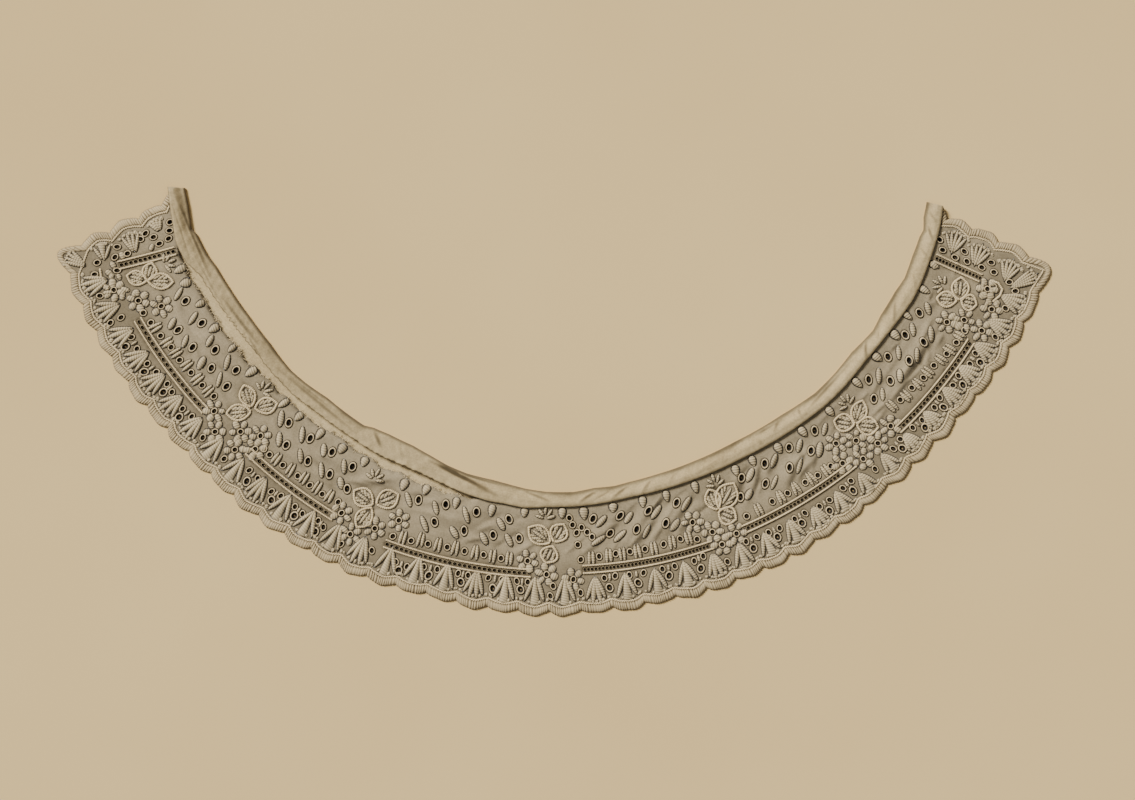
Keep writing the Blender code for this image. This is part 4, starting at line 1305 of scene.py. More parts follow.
@dataclass
class Work:
    """Repeats patterns over the panel and joins them into one piece.

    Args:
        name: Name of the piece.
        finish: Its thread.
        seed: Seed of its unevenness.
        cuts: The copies made so far.
        marks: Rows of x and y along each copy, for the shade on the cloth round it.
    """

    name: str
    finish: ThreadFinish
    seed: int
    cuts: list[Cut] = field(default_factory=list)
    marks: list[Array] = field(default_factory=list)

    def add(self, pattern: Pattern, spots: Array, heading: Array | float, stitch: Stitch,
            base: float = 0.0) -> None:
        """Adds copies of a pattern.

        Args:
            pattern: The shape.
            spots: Middles in mm, one row of x and y each.
            heading: Direction of each copy's length, in radians from straight down to the right.
            stitch: Its sizes.
            base: Height of the foot over the ground, in mm.
        """
        spots = np.atleast_2d(spots)
        count = len(spots)
        if not count:
            return
        shake = np.random.default_rng(self.seed + len(self.cuts) * 7)
        vary = 1.0 + stitch.uneven * shake.standard_normal((count, 3)).clip(-2, 2)
        angle = np.broadcast_to(heading, count) + stitch.uneven * 0.8 * shake.standard_normal(count)
        half_width = np.broadcast_to(stitch.width, count) * 0.5 * vary[:, 0]
        half_length = np.broadcast_to(stitch.length, count) * 0.5 * vary[:, 1]
        across = pattern.corners[:, 0][None] * half_width[:, None]
        along = pattern.corners[:, 1][None] * half_length[:, None]
        sine, cosine = np.sin(angle)[:, None], np.cos(angle)[:, None]
        x = spots[:, :1] - across * cosine + along * sine
        y = spots[:, 1:2] - across * sine - along * cosine
        z = CHART.ground(x.ravel(), y.ravel()).reshape(x.shape) + base
        z = z + pattern.corners[:, 2][None] * stitch.rise * vary[:, 2:]
        start = shake.uniform(0, 9, (count, 1))
        size = len(pattern.corners)
        faces = [[corner + number * size for corner in face]
                 for number in range(count) for face in pattern.faces]
        self.cuts.append(Cut(
            np.stack((x, y, np.maximum(z, 0.05)), 2).reshape(-1, 3), faces,
            np.tile(pattern.shade, count), np.stack((along + start, across), 2).reshape(-1, 2)))
        for part in np.linspace(-0.9, 0.9, 5):
            self.marks.append(np.stack((spots[:, 0] + part * half_length * sine[:, 0],
                                        spots[:, 1] - part * half_length * cosine[:, 0]), 1))

    def rope(self, line: Array, cord: Whipping, way: int = 1) -> None:
        """Lays slanted stitches side by side along a line, as a whipped cord.

        Args:
            line: Rows of x and y in mm.
            cord: Its sizes.
            way: 1, or -1 for stitches that slant the other way.
        """
        step = np.hypot(*np.diff(line, axis=0).T)
        travel = np.concatenate(((0.0,), np.cumsum(step)))
        marks = np.arange(0.5 * cord.pitch, travel[-1], cord.pitch)
        x, y = np.interp(marks, travel, line[:, 0]), np.interp(marks, travel, line[:, 1])
        ahead = np.minimum(marks + 0.4, travel[-1])
        behind = np.maximum(marks - 0.4, 0.0)
        run_x = np.interp(ahead, travel, line[:, 0]) - np.interp(behind, travel, line[:, 0])
        run_y = np.interp(ahead, travel, line[:, 1]) - np.interp(behind, travel, line[:, 1])
        heading = np.arctan2(run_x, -run_y) + cord.slant * way
        bead = Stitch(cord.width, cord.pitch * 1.75, cord.rise, 0.04)
        self.add(BEAD, np.stack((x, y), 1), heading, bead)

    def build(self) -> bpy.types.Object:
        """Joins the copies into a piece.

        Returns:
            The piece.
        """
        offset, faces = 0, []
        for cut in self.cuts:
            faces += [[corner + offset for corner in face] for face in cut.faces]
            offset += len(cut.corners)
        whole = Cut(np.concatenate([cut.corners for cut in self.cuts]), faces,
                    np.concatenate([cut.shade for cut in self.cuts]),
                    np.concatenate([cut.weave for cut in self.cuts]))
        return add_piece(self.name, whole, self.finish.material(), Slot.PANEL)


def spots_of(table: Rows) -> tuple[Array, Array]:
    """Turns rows of ray and ring into places and rays.

    Args:
        table: Rows that begin with ray and ring.

    Returns:
        Rows of x and y in mm, and the rays in radians.
    """
    rows = np.array([row[:2] for row in table], dtype=float)
    return np.stack(CHART.plan(rows[:, 0], rows[:, 1]), 1), np.radians(rows[:, 0])


@dataclass
class Openwork:
    """Eyelets and ladders: every opening in the cloth, and the thread round it.

    Args:
        clear: How far apart two eyelets lie at least, as a share of both half widths.
        rise: Height of the rings and of the slots' walls, in mm.
        slot_width: Width of a ladder's slot at most, along the ladder, in mm.
        slot_length: Length of a ladder's slot, across the ladder, in mm.
        cord_gap: Millimetres from a ladder's middle to its cords.
        cord: Sizes of those cords.
        samples: Places at which a ladder's line is worked out.
        holes: The openings' outlines, rows of x and y in mm.
        rings: The eyelets' rings.
        wells: The slots' walls.
        cords: The ladders' cords.
    """

    clear: float = 1.25
    rise: float = 0.8
    slot_width: float = 1.75
    slot_length: float = 1.15
    cord_gap: float = 1.42
    cord: Whipping = Whipping(0.65, 0.64, 0.5, 0.35)
    samples: int = 90
    holes: list[Array] = field(default_factory=list)
    rings: Work = field(default_factory=lambda: Work("eyelet_rings", CORD_THREAD, 3))
    wells: Work = field(default_factory=lambda: Work("ladder_slots", SLOT_THREAD, 4))
    cords: Work = field(default_factory=lambda: Work("ladder_cords", CORD_THREAD, 5))

    def eyelets(self) -> None:
        """Lists the eyelets, opens the cloth under them and rings them."""
        # Half width in mm, length to width, and where
        kinds: list[tuple[float, float, Rows]] = [
            (0.82, 1.12, FLORETS), (1.05, 1.42, FIELD_EYELETS), (0.86, 1.14, SMALL_EYELETS),
            (0.86, 1.34, SINGLE_EYELETS), (1.06, 1.25, [row[4:] for row in CLUSTERS]),
            (0.84, 1.28, [row[:2] for row in CLUSTERS]),
            (0.84, 1.28, [row[2:4] for row in CLUSTERS]),
        ]
        shake = np.random.default_rng(11)
        taken: list[tuple[float, float, float]] = []
        for radius, stretch, table in kinds:
            spots, rays = spots_of(table)
            keep = []
            for number, (x, y) in enumerate(spots):
                if all(math.hypot(x - u, y - v) > self.clear * (radius + r) for u, v, r in taken):
                    taken.append((x, y, radius))
                    keep.append(number)
            spots, rays = spots[keep], rays[keep]
            swing = shake.uniform(-0.5, 0.5, len(rays))
            if table is FIELD_EYELETS:
                swing = 0.4 * swing + np.where(rays < 0, 0.3, -0.6)
            turn = rays + swing
            ratio = stretch * shake.uniform(0.92, 1.08, len(rays))
            wide = 2.0 * radius / np.sqrt(ratio)
            tall = wide * ratio
            self.rings.add(EYELET, spots, turn, Stitch(wide, tall, self.rise, 0.0))
            self.open(spots, turn, wide * 1.15, tall * 1.15, 12)

    def open(self, spots: Array, turn: Array, wide: Array, tall: Array, sides: int) -> None:
        """Lists openings for the cloth.

        Args:
            spots: Their middles, rows of x and y in mm.
            turn: Direction of each one's length in radians.
            wide: Widths in mm.
            tall: Lengths in mm.
            sides: Corners of each.
        """
        angles = np.arange(sides) * 2 * math.pi / sides + math.pi / sides
        for (x, y), swing, width, length in zip(spots, turn, wide, tall):
            across, along = 0.5 * width * np.cos(angles), 0.5 * length * np.sin(angles)
            self.holes.append(np.stack((x - across * math.cos(swing) + along * math.sin(swing),
                                        y - across * math.sin(swing) - along * math.cos(swing)), 1))

    def ladders(self) -> None:
        """Cuts each ladder's slots and lays its two cords."""
        middles = np.array([hole.mean(0) for hole in self.holes])
        index = np.arange(self.samples)
        for ray_a, ring_a, ray_b, ring_b, count in LADDERS:
            share = np.linspace(0.0, 1.0, self.samples)
            line = np.stack(CHART.plan(ray_a + (ray_b - ray_a) * share,
                                       ring_a + (ring_b - ring_a) * share), 1)
            run = np.gradient(line, axis=0)
            run /= np.hypot(run[:, 0], run[:, 1])[:, None]
            side = np.stack((-run[:, 1], run[:, 0]), 1)
            for way in (-1, 1):
                self.cords.rope(line + side * way * self.cord_gap, self.cord, way)
            at = (np.arange(count) + 0.5) / count * (self.samples - 1)
            spots = np.stack([np.interp(at, index, column) for column in line.T], 1)
            side_x, side_y = (np.interp(at, index, column) for column in side.T)
            heading = np.arctan2(side_x, -side_y)
            gap = np.hypot(spots[:, :1] - middles[:, 0], spots[:, 1:] - middles[:, 1]).min(1)
            spots, heading = spots[gap > 2.0], heading[gap > 2.0]
            pitch = np.hypot(*(line[-1] - line[0])) / count
            wide = np.full(len(spots), min(pitch * 0.74, self.slot_width))
            tall = np.full(len(spots), self.slot_length)
            self.wells.add(WELL, spots, heading, Stitch(wide, tall, self.rise, 0.0))
            self.open(spots, heading, wide * 1.05, tall * 1.05, 8)

    def build(self) -> list[bpy.types.Object]:
        """Makes the rings, the slots' walls and the cords.

        Returns:
            The three pieces.
        """
        self.eyelets()
        self.ladders()
        return [self.rings.build(), self.wells.build(), self.cords.build()]


@dataclass
class SatinWork:
    """Padded leaves: drops, slanted and split leaves, sprigs, petals and fans.

    Args:
        drop: Drops along the neckband.
        slanted: Slanted leaves of the field.
        split: Halves of the split leaves.
        split_gap: Millimetres from a split leaf's middle to each half's.
        between: Leaves between the small eyelets of the border.
        sprig: Leaves of the sprigs.
        oval_rise: Height of the ovals in the corners, in mm.
        petal: Petals of the florets.
        petal_reach: Millimetres from a floret's middle to its petals'.
        fan_rise: Height of the fans in mm.
        knot: Small stitches at the far ends of the fans.
        leaves: The drops, leaves, sprigs and ovals.
        fans: The fans of the edge.
        petals: The florets' petals.
        seeds: The small stitches.
    """

    drop: Stitch = Stitch(2.7, 4.2, 0.68, 0.1)
    slanted: Stitch = Stitch(2.2, 5.4, 0.68, 0.1)
    split: Stitch = Stitch(1.45, 5.3, 0.68)
    split_gap: float = 0.74
    between: Stitch = Stitch(1.1, 2.6, 0.68)
    sprig: Stitch = Stitch(1.25, 3.1, 0.68)
    oval_rise: float = 0.5
    petal: Stitch = Stitch(2.5, 2.8, 0.48, 0.1)
    petal_reach: float = 2.95
    fan_rise: float = 0.72
    knot: Stitch = Stitch(1.05, 1.7, 0.42, 0.2)
    leaves: Work = field(default_factory=lambda: Work("satin_leaves", SATIN_THREAD, 21))
    fans: Work = field(default_factory=lambda: Work("edge_fans", SATIN_THREAD, 22))
    petals: Work = field(default_factory=lambda: Work("floret_petals", SATIN_THREAD, 23))
    seeds: Work = field(default_factory=lambda: Work("seed_stitches", SATIN_THREAD, 24))

    def field_leaves(self) -> None:
        """Lays the leaves of the field."""
        spots, rays = spots_of(DROPS)
        self.leaves.add(DROP, spots, rays, self.drop)
        spots, rays = spots_of(FIELD_LEAVES)
        lean = np.where(rays < 0, 0.60, -0.82)
        self.leaves.add(LEAF, spots, rays + lean, self.slanted)
        spots, rays = spots_of(SPLIT_LEAVES)
        for way in (-1, 1):
            beside = spots + way * self.split_gap * np.stack((np.cos(rays), np.sin(rays)), 1)
            self.leaves.add(LEAF, beside, rays + way * 0.05, self.split)
        spots, rays = spots_of(CORNER_OVALS)
        turn, long, wide = np.array(CORNER_OVALS)[:, 2:].T
        self.leaves.add(PETAL, spots, rays + np.radians(turn), Stitch(wide, long, self.oval_rise))
        between = [(0.5 * (row[0] + row[2]), 0.5 * (row[1] + row[3])) for row in CLUSTERS]
        spots, rays = spots_of(between)
        self.leaves.add(LEAF, spots, rays, self.between)
        spots, rays = spots_of(SPRIGS)
        for turn, away in ((-1.25, 2.3), (-0.6, 2.8), (0.0, 3.3), (0.6, 2.8), (1.25, 2.3)):
            heading = rays + math.pi + turn
            middle = spots + away * np.stack((np.sin(heading), -np.cos(heading)), 1)
            self.leaves.add(LEAF, middle, heading, self.sprig)

    def fan(self, foot: Array, ray: float, reach: float, tips: Rows) -> None:
        """Long leaves that share a foot, with small stitches at their far ends.

        Args:
            foot: Where they meet, in mm.
            ray: Mean direction in degrees.
            reach: Length of the longest in mm.
            tips: Turn in degrees, share of the reach and width in mm of each.
        """
        for turn, share, width in tips:
            heading = math.radians(ray + turn)
            way = np.array((math.sin(heading), -math.cos(heading)))
            start = 0.4 if turn == 0.0 else 1.2
            spot = foot + way * 0.5 * (start + reach * share)
            leaf = Stitch(width, reach * share - start, self.fan_rise, 0.03)
            self.fans.add(WEDGE if width > 3.0 else LEAF, spot, heading, leaf)
        edges = [0.5 * (one[0] + two[0]) for one, two in zip(tips, tips[1:])]
        for turn in (tips[0][0] - 7.0, *edges, tips[-1][0] + 7.0):
            heading = math.radians(ray + turn)
            way = np.array((math.sin(heading), -math.cos(heading)))
            self.seeds.add(BEAD, foot + way * (reach * 0.95 - 0.5), heading + 1.4, self.knot)

    def edge(self) -> None:
        """Lays the fans of the edge."""
        broad = ((-22.0, 0.90, 1.7), (0.0, 1.0, 3.9), (22.0, 0.90, 1.7))
        slim = ((-22.0, 0.88, 1.7), (-7.5, 1.0, 2.0), (8.0, 1.0, 2.0), (22.0, 0.88, 1.7))
        for number, ray in enumerate(CHART.fans()):
            foot = np.array(CHART.plan(ray, CHART.feet(ray)))
            reach = 0.86 * CHART.step * (CHART.valley(ray) - CHART.feet(ray))
            self.fan(foot, ray, reach, slim if abs(ray) > 45 or number % 4 == 1 else broad)
        for ray, ring, turn, reach, spread, count in END_FANS:
            tips = []
            for number in range(count):
                swing = spread * (2.0 * number / (count - 1) - 1.0)
                width = 3.3 if count == 3 and swing == 0.0 else 1.4
                tips.append((swing, 1.0 - 0.12 * abs(swing) / spread, width))
            self.fan(np.array(CHART.plan(ray, ring)), ray + turn, reach, tips)

    def florets(self) -> None:
        """Lays six round petals about each floret's eyelet."""
        spots, rays = spots_of(FLORETS)
        for number in range(6):
            heading = rays + number * math.pi / 3 + 0.3
            outward = np.stack((np.sin(heading), -np.cos(heading)), 1)
            self.petals.add(PETAL, spots + self.petal_reach * outward, heading, self.petal)

    def build(self) -> list[bpy.types.Object]:
        """Makes the leaves, the fans, the petals and the small stitches.

        Returns:
            The four pieces.
        """
        self.field_leaves()
        self.edge()
        self.florets()
        return [work.build() for work in (self.leaves, self.fans, self.petals, self.seeds)]


@dataclass
class Trefoils:
    """Three-lobed leaves: a corded outline filled with padded veins.

    Args:
        cord: Sizes of the outline's cord.
        curl: Sizes of the cords that curl in the corners.
        faces: The veins.
        cords: The cords.
    """

    cord: Whipping = Whipping(0.7, 0.85, 0.6, 0.3)
    curl: Whipping = Whipping(0.7, 0.85, 0.55, 0.3)
    faces: Work = field(default_factory=lambda: Work("trefoil_veins", SATIN_THREAD, 31))
    cords: Work = field(default_factory=lambda: Work("trefoil_cords", CORD_THREAD, 32))

    def lay(self, foot: Array, heading: float, shape: Rows) -> Array:
        """Turns a shape and sets it down.

        Args:
            foot: Where it starts, in mm.
            heading: Its direction in radians.
            shape: Rows across and along, in mm.

        Returns:
            Rows of x and y in mm.
        """
        rows = np.array(shape, dtype=float)
        tangent = np.array((math.cos(heading), math.sin(heading)))
        outward = np.array((math.sin(heading), -math.cos(heading)))
        return foot + rows[:, :1] * tangent + rows[:, 1:] * outward

    def lobe(self, foot: Array, heading: float, long: float, wide: float) -> None:
        """Makes one lobe: its outline, a middle vein and slanted side veins.

        Args:
            foot: Where it starts, in mm.
            heading: Its direction in radians.
            long: Length in mm.
            wide: Width in mm.
        """
        along = (0.03, 0.14, 0.30, 0.47, 0.63, 0.78, 0.90, 1.0)
        across = (0.02, 0.22, 0.40, 0.49, 0.48, 0.37, 0.19, 0.0)
        half = [(wide * side, long * share) for side, share in zip(across, along)]
        back = [(-side, share) for side, share in half[-2::-1]]
        self.cords.rope(self.lay(foot, heading, half + back), self.cord)
        middle = self.lay(foot, heading, ((0.0, 0.52 * long),))
        self.faces.add(LEAF, middle, heading, Stitch(1.3, long * 0.60, 0.5, 0.02))
        for level, share in ((0.36, 0.30), (0.54, 0.38), (0.72, 0.28)):
            vein = Stitch(1.15, share * long, 0.45, 0.08)
            for way in (-1, 1):
                spot = self.lay(foot, heading, ((way * 0.245 * wide, level * long),))
                self.faces.add(LEAF, spot, heading + way * 0.5, vein)

    def build(self) -> list[bpy.types.Object]:
        """Makes the seven trefoils.

        Returns:
            The veins and the cords.
        """
        for ray, ring, turn, long, wide in LOBES:
            self.lobe(np.array(CHART.plan(ray, ring)), math.radians(ray + turn), long, wide)
        for curl in CORNER_CORDS:
            spots, _ = spots_of(curl)
            share = np.linspace(0.0, len(spots) - 1.0, 40)
            line = [np.interp(share, range(len(spots)), column) for column in spots.T]
            self.cords.rope(np.stack(line, 1), self.curl)
        return [self.faces.build(), self.cords.build()]


class Crowd:
    """Places that others must keep clear of, sorted into square cells."""

    def __init__(self, size: float) -> None:
        """Starts with empty cells.

        Args:
            size: Millimetres to a cell's side, no less than any place's reach.
        """
        self.size = size
        self.cells: dict[tuple[int, int], list[tuple[float, float, float]]] = {}

    def add(self, x: float, y: float, reach: float) -> None:
        """Adds a place that others keep clear of by its reach, all in mm."""
        cell = (int(x // self.size), int(y // self.size))
        self.cells.setdefault(cell, []).append((x, y, reach))

    def holds(self, x: float, y: float) -> bool:
        """Tells whether a place comes too close to any other.

        Args:
            x: Its place across, in mm.
            y: Its place up the picture, in mm.

        Returns:
            Whether it does.
        """
        column, row = int(x // self.size), int(y // self.size)
        beside = [(column + i, row + j) for i in (-1, 0, 1) for j in (-1, 0, 1)]
        return any(math.hypot(u - x, v - y) < reach
                   for cell in beside for u, v, reach in self.cells.get(cell, ()))


@dataclass
class PanelCloth:
    """The fine linen that carries the embroidery, with its eyelets cut through.

    Args:
        edge: The scalloped edge.
        pitch: Millimetres between loose corners.
        under: Millimetres that the cloth stops short of the rim's outline.
        thick: Thickness of the cloth in mm.
        sink: Millimetres that the cloth sinks in beside the raised work.
        holes: The openings' outlines, rows of x and y in mm.
        marks: Places of the raised work, rows of x and y in mm.
    """

    edge: ScallopedEdge
    pitch: float = 1.15
    under: float = 1.6
    thick: float = 0.35
    sink: float = 0.12
    holes: list[Array] = field(default_factory=list)
    marks: list[Array] = field(default_factory=list)

    def outline(self) -> Array:
        """Draws the cloth's outline: under the rim, then along the neck from right to left.

        Returns:
            Rows of x and y in mm.
        """
        outer = self.edge.line(self.under, 7)
        shake = np.random.default_rng(5)
        rays = np.linspace(73.2, -75.6, 400)
        rough = shake.uniform(-0.9, 0.7, len(rays)) * CHART.is_open(rays)
        x, y = CHART.plan(rays, CHART.neck(rays) + rough)
        return np.concatenate((outer, np.stack((x, y), 1)))

    def halo(self, x: Array, y: Array) -> Array:
        """Finds the painted shade that gathers round the raised work.

        Args:
            x: Places across, in mm.
            y: Places up the picture, in mm.

        Returns:
            Nought to one at each place.
        """
        marks = np.concatenate(self.marks)
        count, _, _ = np.histogram2d(
            marks[:, 0], marks[:, 1], bins=(WIDE, TALL), range=((LEFT, -LEFT), (LOW, -LOW)))
        count = np.minimum(count, 3.0)
        for _ in range(3):
            for axis in (0, 1):
                count = (np.roll(count, 1, axis) + count * 2 + np.roll(count, -1, axis)) / 4
        column = np.clip(((x - LEFT) / CELL).astype(int), 0, WIDE - 1)
        row = np.clip(((y - LOW) / CELL).astype(int), 0, TALL - 1)
        return np.clip(count[column, row] * 1.1, 0, 1)

    def spread(self, outline: Array) -> Array:
        """Spreads corners in rings over the cloth, and along the folds.

        Args:
            outline: Its outline, rows of x and y in mm.

        Returns:
            Rows of x and y, all inside the outline.
        """
        spots = []
        rings = np.arange(398.0, 520.0, 0.87 * self.pitch / CHART.step)
        for number, ring in enumerate(rings):
            turn = math.degrees(self.pitch / (ring * CHART.step))
            rays = np.arange(-77.0 + 0.5 * turn * (number % 2), 75.0, turn)
            spots.append(np.stack(CHART.plan(rays, np.full_like(rays, ring)), 1))
        spots = np.concatenate((*spots, CREASED.crests()))
        inside = np.zeros(len(spots), dtype=bool)
        for (ax, ay), (bx, by) in zip(outline, np.roll(outline, -1, 0)):
            crosses = (ay > spots[:, 1]) != (by > spots[:, 1])
            slope = (bx - ax) / (by - ay) if by != ay else 0.0
            inside ^= crosses & (spots[:, 0] < slope * (spots[:, 1] - ay) + ax)
        return spots[inside]

    def loose(self, outline: Array) -> Array:
        """Keeps the corners that are clear of the outline and of the holes.

        Args:
            outline: The cloth's outline, rows of x and y in mm.

        Returns:
            Rows of x and y in mm.
        """
        lines, holes = Crowd(1.0), Crowd(4.0)
        for x, y in np.concatenate((outline, *self.holes)):
            lines.add(x, y, 0.5)
        for hole in self.holes:
            middle = hole.mean(0)
            holes.add(*middle, np.hypot(*(hole - middle).T).max() + 0.2)
        return np.array([(x, y) for x, y in self.spread(outline)
                         if not lines.holds(x, y) and not holes.holds(x, y)])

    def painted_shade(self, x: Array, y: Array, near: Array) -> Array:
        """Paints shade on the cloth: round the work, beside the band, in folds, at the raw edge;
        darker towards the border.

        Args:
            x: Places across, in mm.
            y: Places up the picture, in mm.
            near: Painted shade that gathers round the raised work.

        Returns:
            The shade at each place.
        """
        ray, ring = CHART.chart(x, y)
        # Painted shade round the work, beside the band, on the folds' sides away from the key lamp
        # and along the raw edge, and darker towards the border.
        beside = smooth(1.0 - (ring - CHART.bare(ray)) / 3.0)
        folds = np.clip(1.5 * CREASED.away(x, y), 0.0, 0.45)
        raw_edge_shade = smooth(1.0 - (ring - CHART.neck(ray)) / 1.3) * CHART.is_open(ray)
        border = smooth((ring - 450.0) / 22.0)
        return 0.62 * near + 0.1 * beside + folds + 0.25 * raw_edge_shade + 0.34 * border

    def cut(self) -> Cut:
        """Triangulates the cloth round its holes and lays it on the folds.

        Returns:
            The cut.
        """
        outline = self.outline()
        groups = [outline, *self.holes, self.loose(outline)]
        spots = [Vector(spot) for group in groups for spot in group]
        owner = np.concatenate([np.full(len(group), number) for number, group in enumerate(groups)])
        lines = []
        first = len(outline)
        for hole in self.holes:
            size = len(hole)
            lines += [(first + n, first + (n + 1) % size) for n in range(size)]
            first += size
        out = delaunay_2d_cdt(spots, lines, [list(range(len(outline)))], 1, 0.001)
        corners = np.array([spot[:] for spot in out[0]])
        belongs = np.array([owner[source[0]] if source else -1 for source in out[3]])
        faces = []
        for face in out[2]:
            owners = {belongs[number] for number in face}
            in_hole = len(owners) == 1 and 0 < next(iter(owners)) <= len(self.holes)
            if not in_hole:
                faces.append(list(face))
        x, y = corners.T
        near = self.halo(x, y)
        ray, ring = CHART.chart(x, y)
        z = CHART.ground(x, y) - self.sink * near
        weave = np.stack((np.radians(ray) * 172.0, ring * CHART.step), 1)
        return Cut(np.stack((x, y, z), 1), faces, self.painted_shade(x, y, near), weave)

    def build(self) -> bpy.types.Object:
        """Makes the cloth as a thin shell.

        Returns:
            The piece.
        """
        piece = add_piece("panel_cloth", self.cut(), GROUND_LINEN.material(), Slot.PANEL)
        return thicken(piece, self.thick)


@dataclass
class Fray:
    """Loose thread ends along the panel's raw edge.

    Args:
        count: How many.
        base: Height of their feet over the cloth, in mm.
        seed: Seed of their places.
    """

    count: int = 200
    base: float = 0.02
    seed: int = 61

    def build(self) -> bpy.types.Object:
        """Scatters the thread ends.

        Returns:
            The piece.
        """
        shake = np.random.default_rng(self.seed)
        rays = shake.uniform(-66.5, -14.0, self.count)
        rings = CHART.neck(rays) + shake.uniform(-2.0, 0.8, self.count)
        spots = np.stack(CHART.plan(rays, rings), 1)
        work = Work("frayed_threads", CORD_THREAD, self.seed)
        heading = np.radians(rays) + shake.normal(0.0, 0.7, self.count)
        end = Stitch(0.15, shake.uniform(0.8, 1.9, self.count), 0.12, 0.1)
        work.add(BEAD, spots, heading, end, self.base)
        return work.build()


@dataclass
class Strip:
    """Places on the neckband's strip.

    Args:
        ray: Rays in degrees.
        across: Share of the strip's width, from the back leaf's edge.
        over: Share of the front leaf's width, from the fold.
        fold: Ring of the fold.
        front: Ring of the front leaf's edge.
        ring: Ring of each place.
        loose: Share by which the front leaf has come away.
    """

    ray: Array
    across: Array
    over: Array
    fold: Array
    front: Array
    ring: Array
    loose: Array


@dataclass
class Neckband:
    """The folded strip of plain linen round the neck, its front leaf partly unstitched.

    Args:
        thick: Thickness of the cloth in mm.
        columns: Squares along it.
        rows: Squares across it.
        bulge: Millimetres that the fold bellies out.
        thin: Height at the fold, where only its own two layers lie.
        low: Height of the back leaf, in mm.
        back_end: Share of the strip's width at which the back leaf goes over into the fold.
        fold_share: Share of the width that bends round the fold.
        front_start: Share of the width at which the front leaf starts.
    """

    thick: float = 0.35
    columns: int = 800
    rows: int = 44
    bulge: float = 0.55
    thin: float = 1.1
    low: float = 0.05
    back_end: float = 0.3
    fold_share: float = 0.18
    front_start: float = 0.48

    def lay(self, along: Array, across: Array) -> Strip:
        """Lays the strip on the chart: back leaf, round fold, front leaf.

        Args:
            along: Share of the length, left to right.
            across: Share of the width, from the back leaf's edge.

        Returns:
            Its places.
        """
        ray = BAND[0, 0] + (BAND[-1, 0] - BAND[0, 0]) * along
        fold, back = CHART.fold(ray), CHART.back(ray)
        loose = 1.0 - CHART.raised(ray)
        ragged = smooth((ray + 58.0) / 1.5) * smooth((-51.0 - ray) / 1.5)
        front = CHART.front(ray)
        front = front + ragged * (0.9 * np.sin(ray * 8.5) + 0.6 * np.sin(ray * 21.0 + 1.0))
        front = front + 0.35 * loose * (np.sin(ray * 3.1) + np.sin(ray * 7.3 + 2.0))
        belly = self.bulge / CHART.step
        start = fold + belly
        under = back + (start - back) * np.clip(across / self.back_end, 0, 1)
        over = np.clip((across - self.front_start) / (1.0 - self.front_start), 0, 1)
        ring = np.where(across < self.back_end, under,
                        start - belly * np.sin(self.angle(across)))
        ring = np.where(across > self.front_start, start + (front - start) * over, ring)
        return Strip(ray, across, over, fold, front, ring, loose)

    def angle(self, across: Array) -> Array:
        """How far the strip has turned round the fold, in radians."""
        return math.pi * np.clip((across - self.back_end) / self.fold_share, 0, 1)

    def heights(self, strip: Strip, crest: Array) -> Array:
        """Finds how high the strip lies.

        Args:
            strip: Its places.
            crest: Height of the creases there.

        Returns:
            Its height over the paper, in mm.
        """
        ray, ring, raised = strip.ray, strip.ring, CHART.raised(strip.ray)
        on_front = strip.across > self.front_start
        layer = CHART.wall + CHART.seam_gap
        tall = 2.0 * CHART.wall + CHART.seam_gap + raised * layer
        z = self.low + 0.5 * (self.thin - self.low) * (1 - np.cos(self.angle(strip.across)))
        z = z + (tall - self.thin) * smooth((ring - strip.fold - 2.0) / 9.0) * on_front
        fine = 0.07 * np.sin(ray * 2.3 + ring * 0.35) * np.sin(ray * 0.9 + 1.3)
        fine = fine + 0.03 * np.sin(ray * 5.1 - ring * 0.5)
        z = z + self.outside(strip) * (crest + fine)
        z = z - 0.32 * raised * smooth((ring - strip.front + 2.2) / 2.2) * on_front
        flutter = 0.15 + 0.25 * np.sin(ray * 1.7) * np.sin(ray * 0.61 + 0.4)
        z = z + strip.loose * smooth((strip.over - 0.72) / 0.28) * flutter
        return np.maximum(z, self.low)

    def outside(self, strip: Strip) -> Array:
        """Nought on the back leaf and one on the fold and the front leaf, where creases show."""
        return smooth((strip.across - 0.4) / 0.12)

    def painted_shade(self, strip: Strip, crest: Array) -> Array:
        """Paints shade on the strip: at its fold and seam, on its creases, in patches near the
        fold, and all over its outside.

        Args:
            strip: Its places.
            crest: Height of the creases there.

        Returns:
            The shade.
        """
        ray = strip.ray
        past_fold = strip.ring - strip.fold
        turned = strip.across > 0.38
        # Painted shade along the seam, broken by the stitches.
        stitches = 0.75 + 0.25 * np.sin(ray * 2.7 * math.pi) * (1.0 - strip.loose)
        seam = smooth(1.0 - (strip.front - strip.ring) * CHART.step / 0.46) * (strip.over > 0)
        # Painted shade in patches near the fold.
        patchy_fold_shade = np.clip(np.sin(ray * 0.55 + 0.8) * np.sin(ray * 0.21 + 2.0) + 0.25, 0, 1)
        patchy_fold_shade = patchy_fold_shade * smooth(1.0 - past_fold / 9.0) * turned
        # Painted shade on the creases' crests, and along the fold.
        creased = np.clip(np.abs(crest) - 0.08, 0, 1) * 2.4
        shade = 0.85 * smooth(1.0 - past_fold * CHART.step / 0.95) * turned
        shade = shade + (0.75 + 0.2 * strip.loose) * stitches * seam
        # The fold and front leaf are also darkened a little all over.
        return shade + (creased + 0.34 * patchy_fold_shade + 0.24) * self.outside(strip)

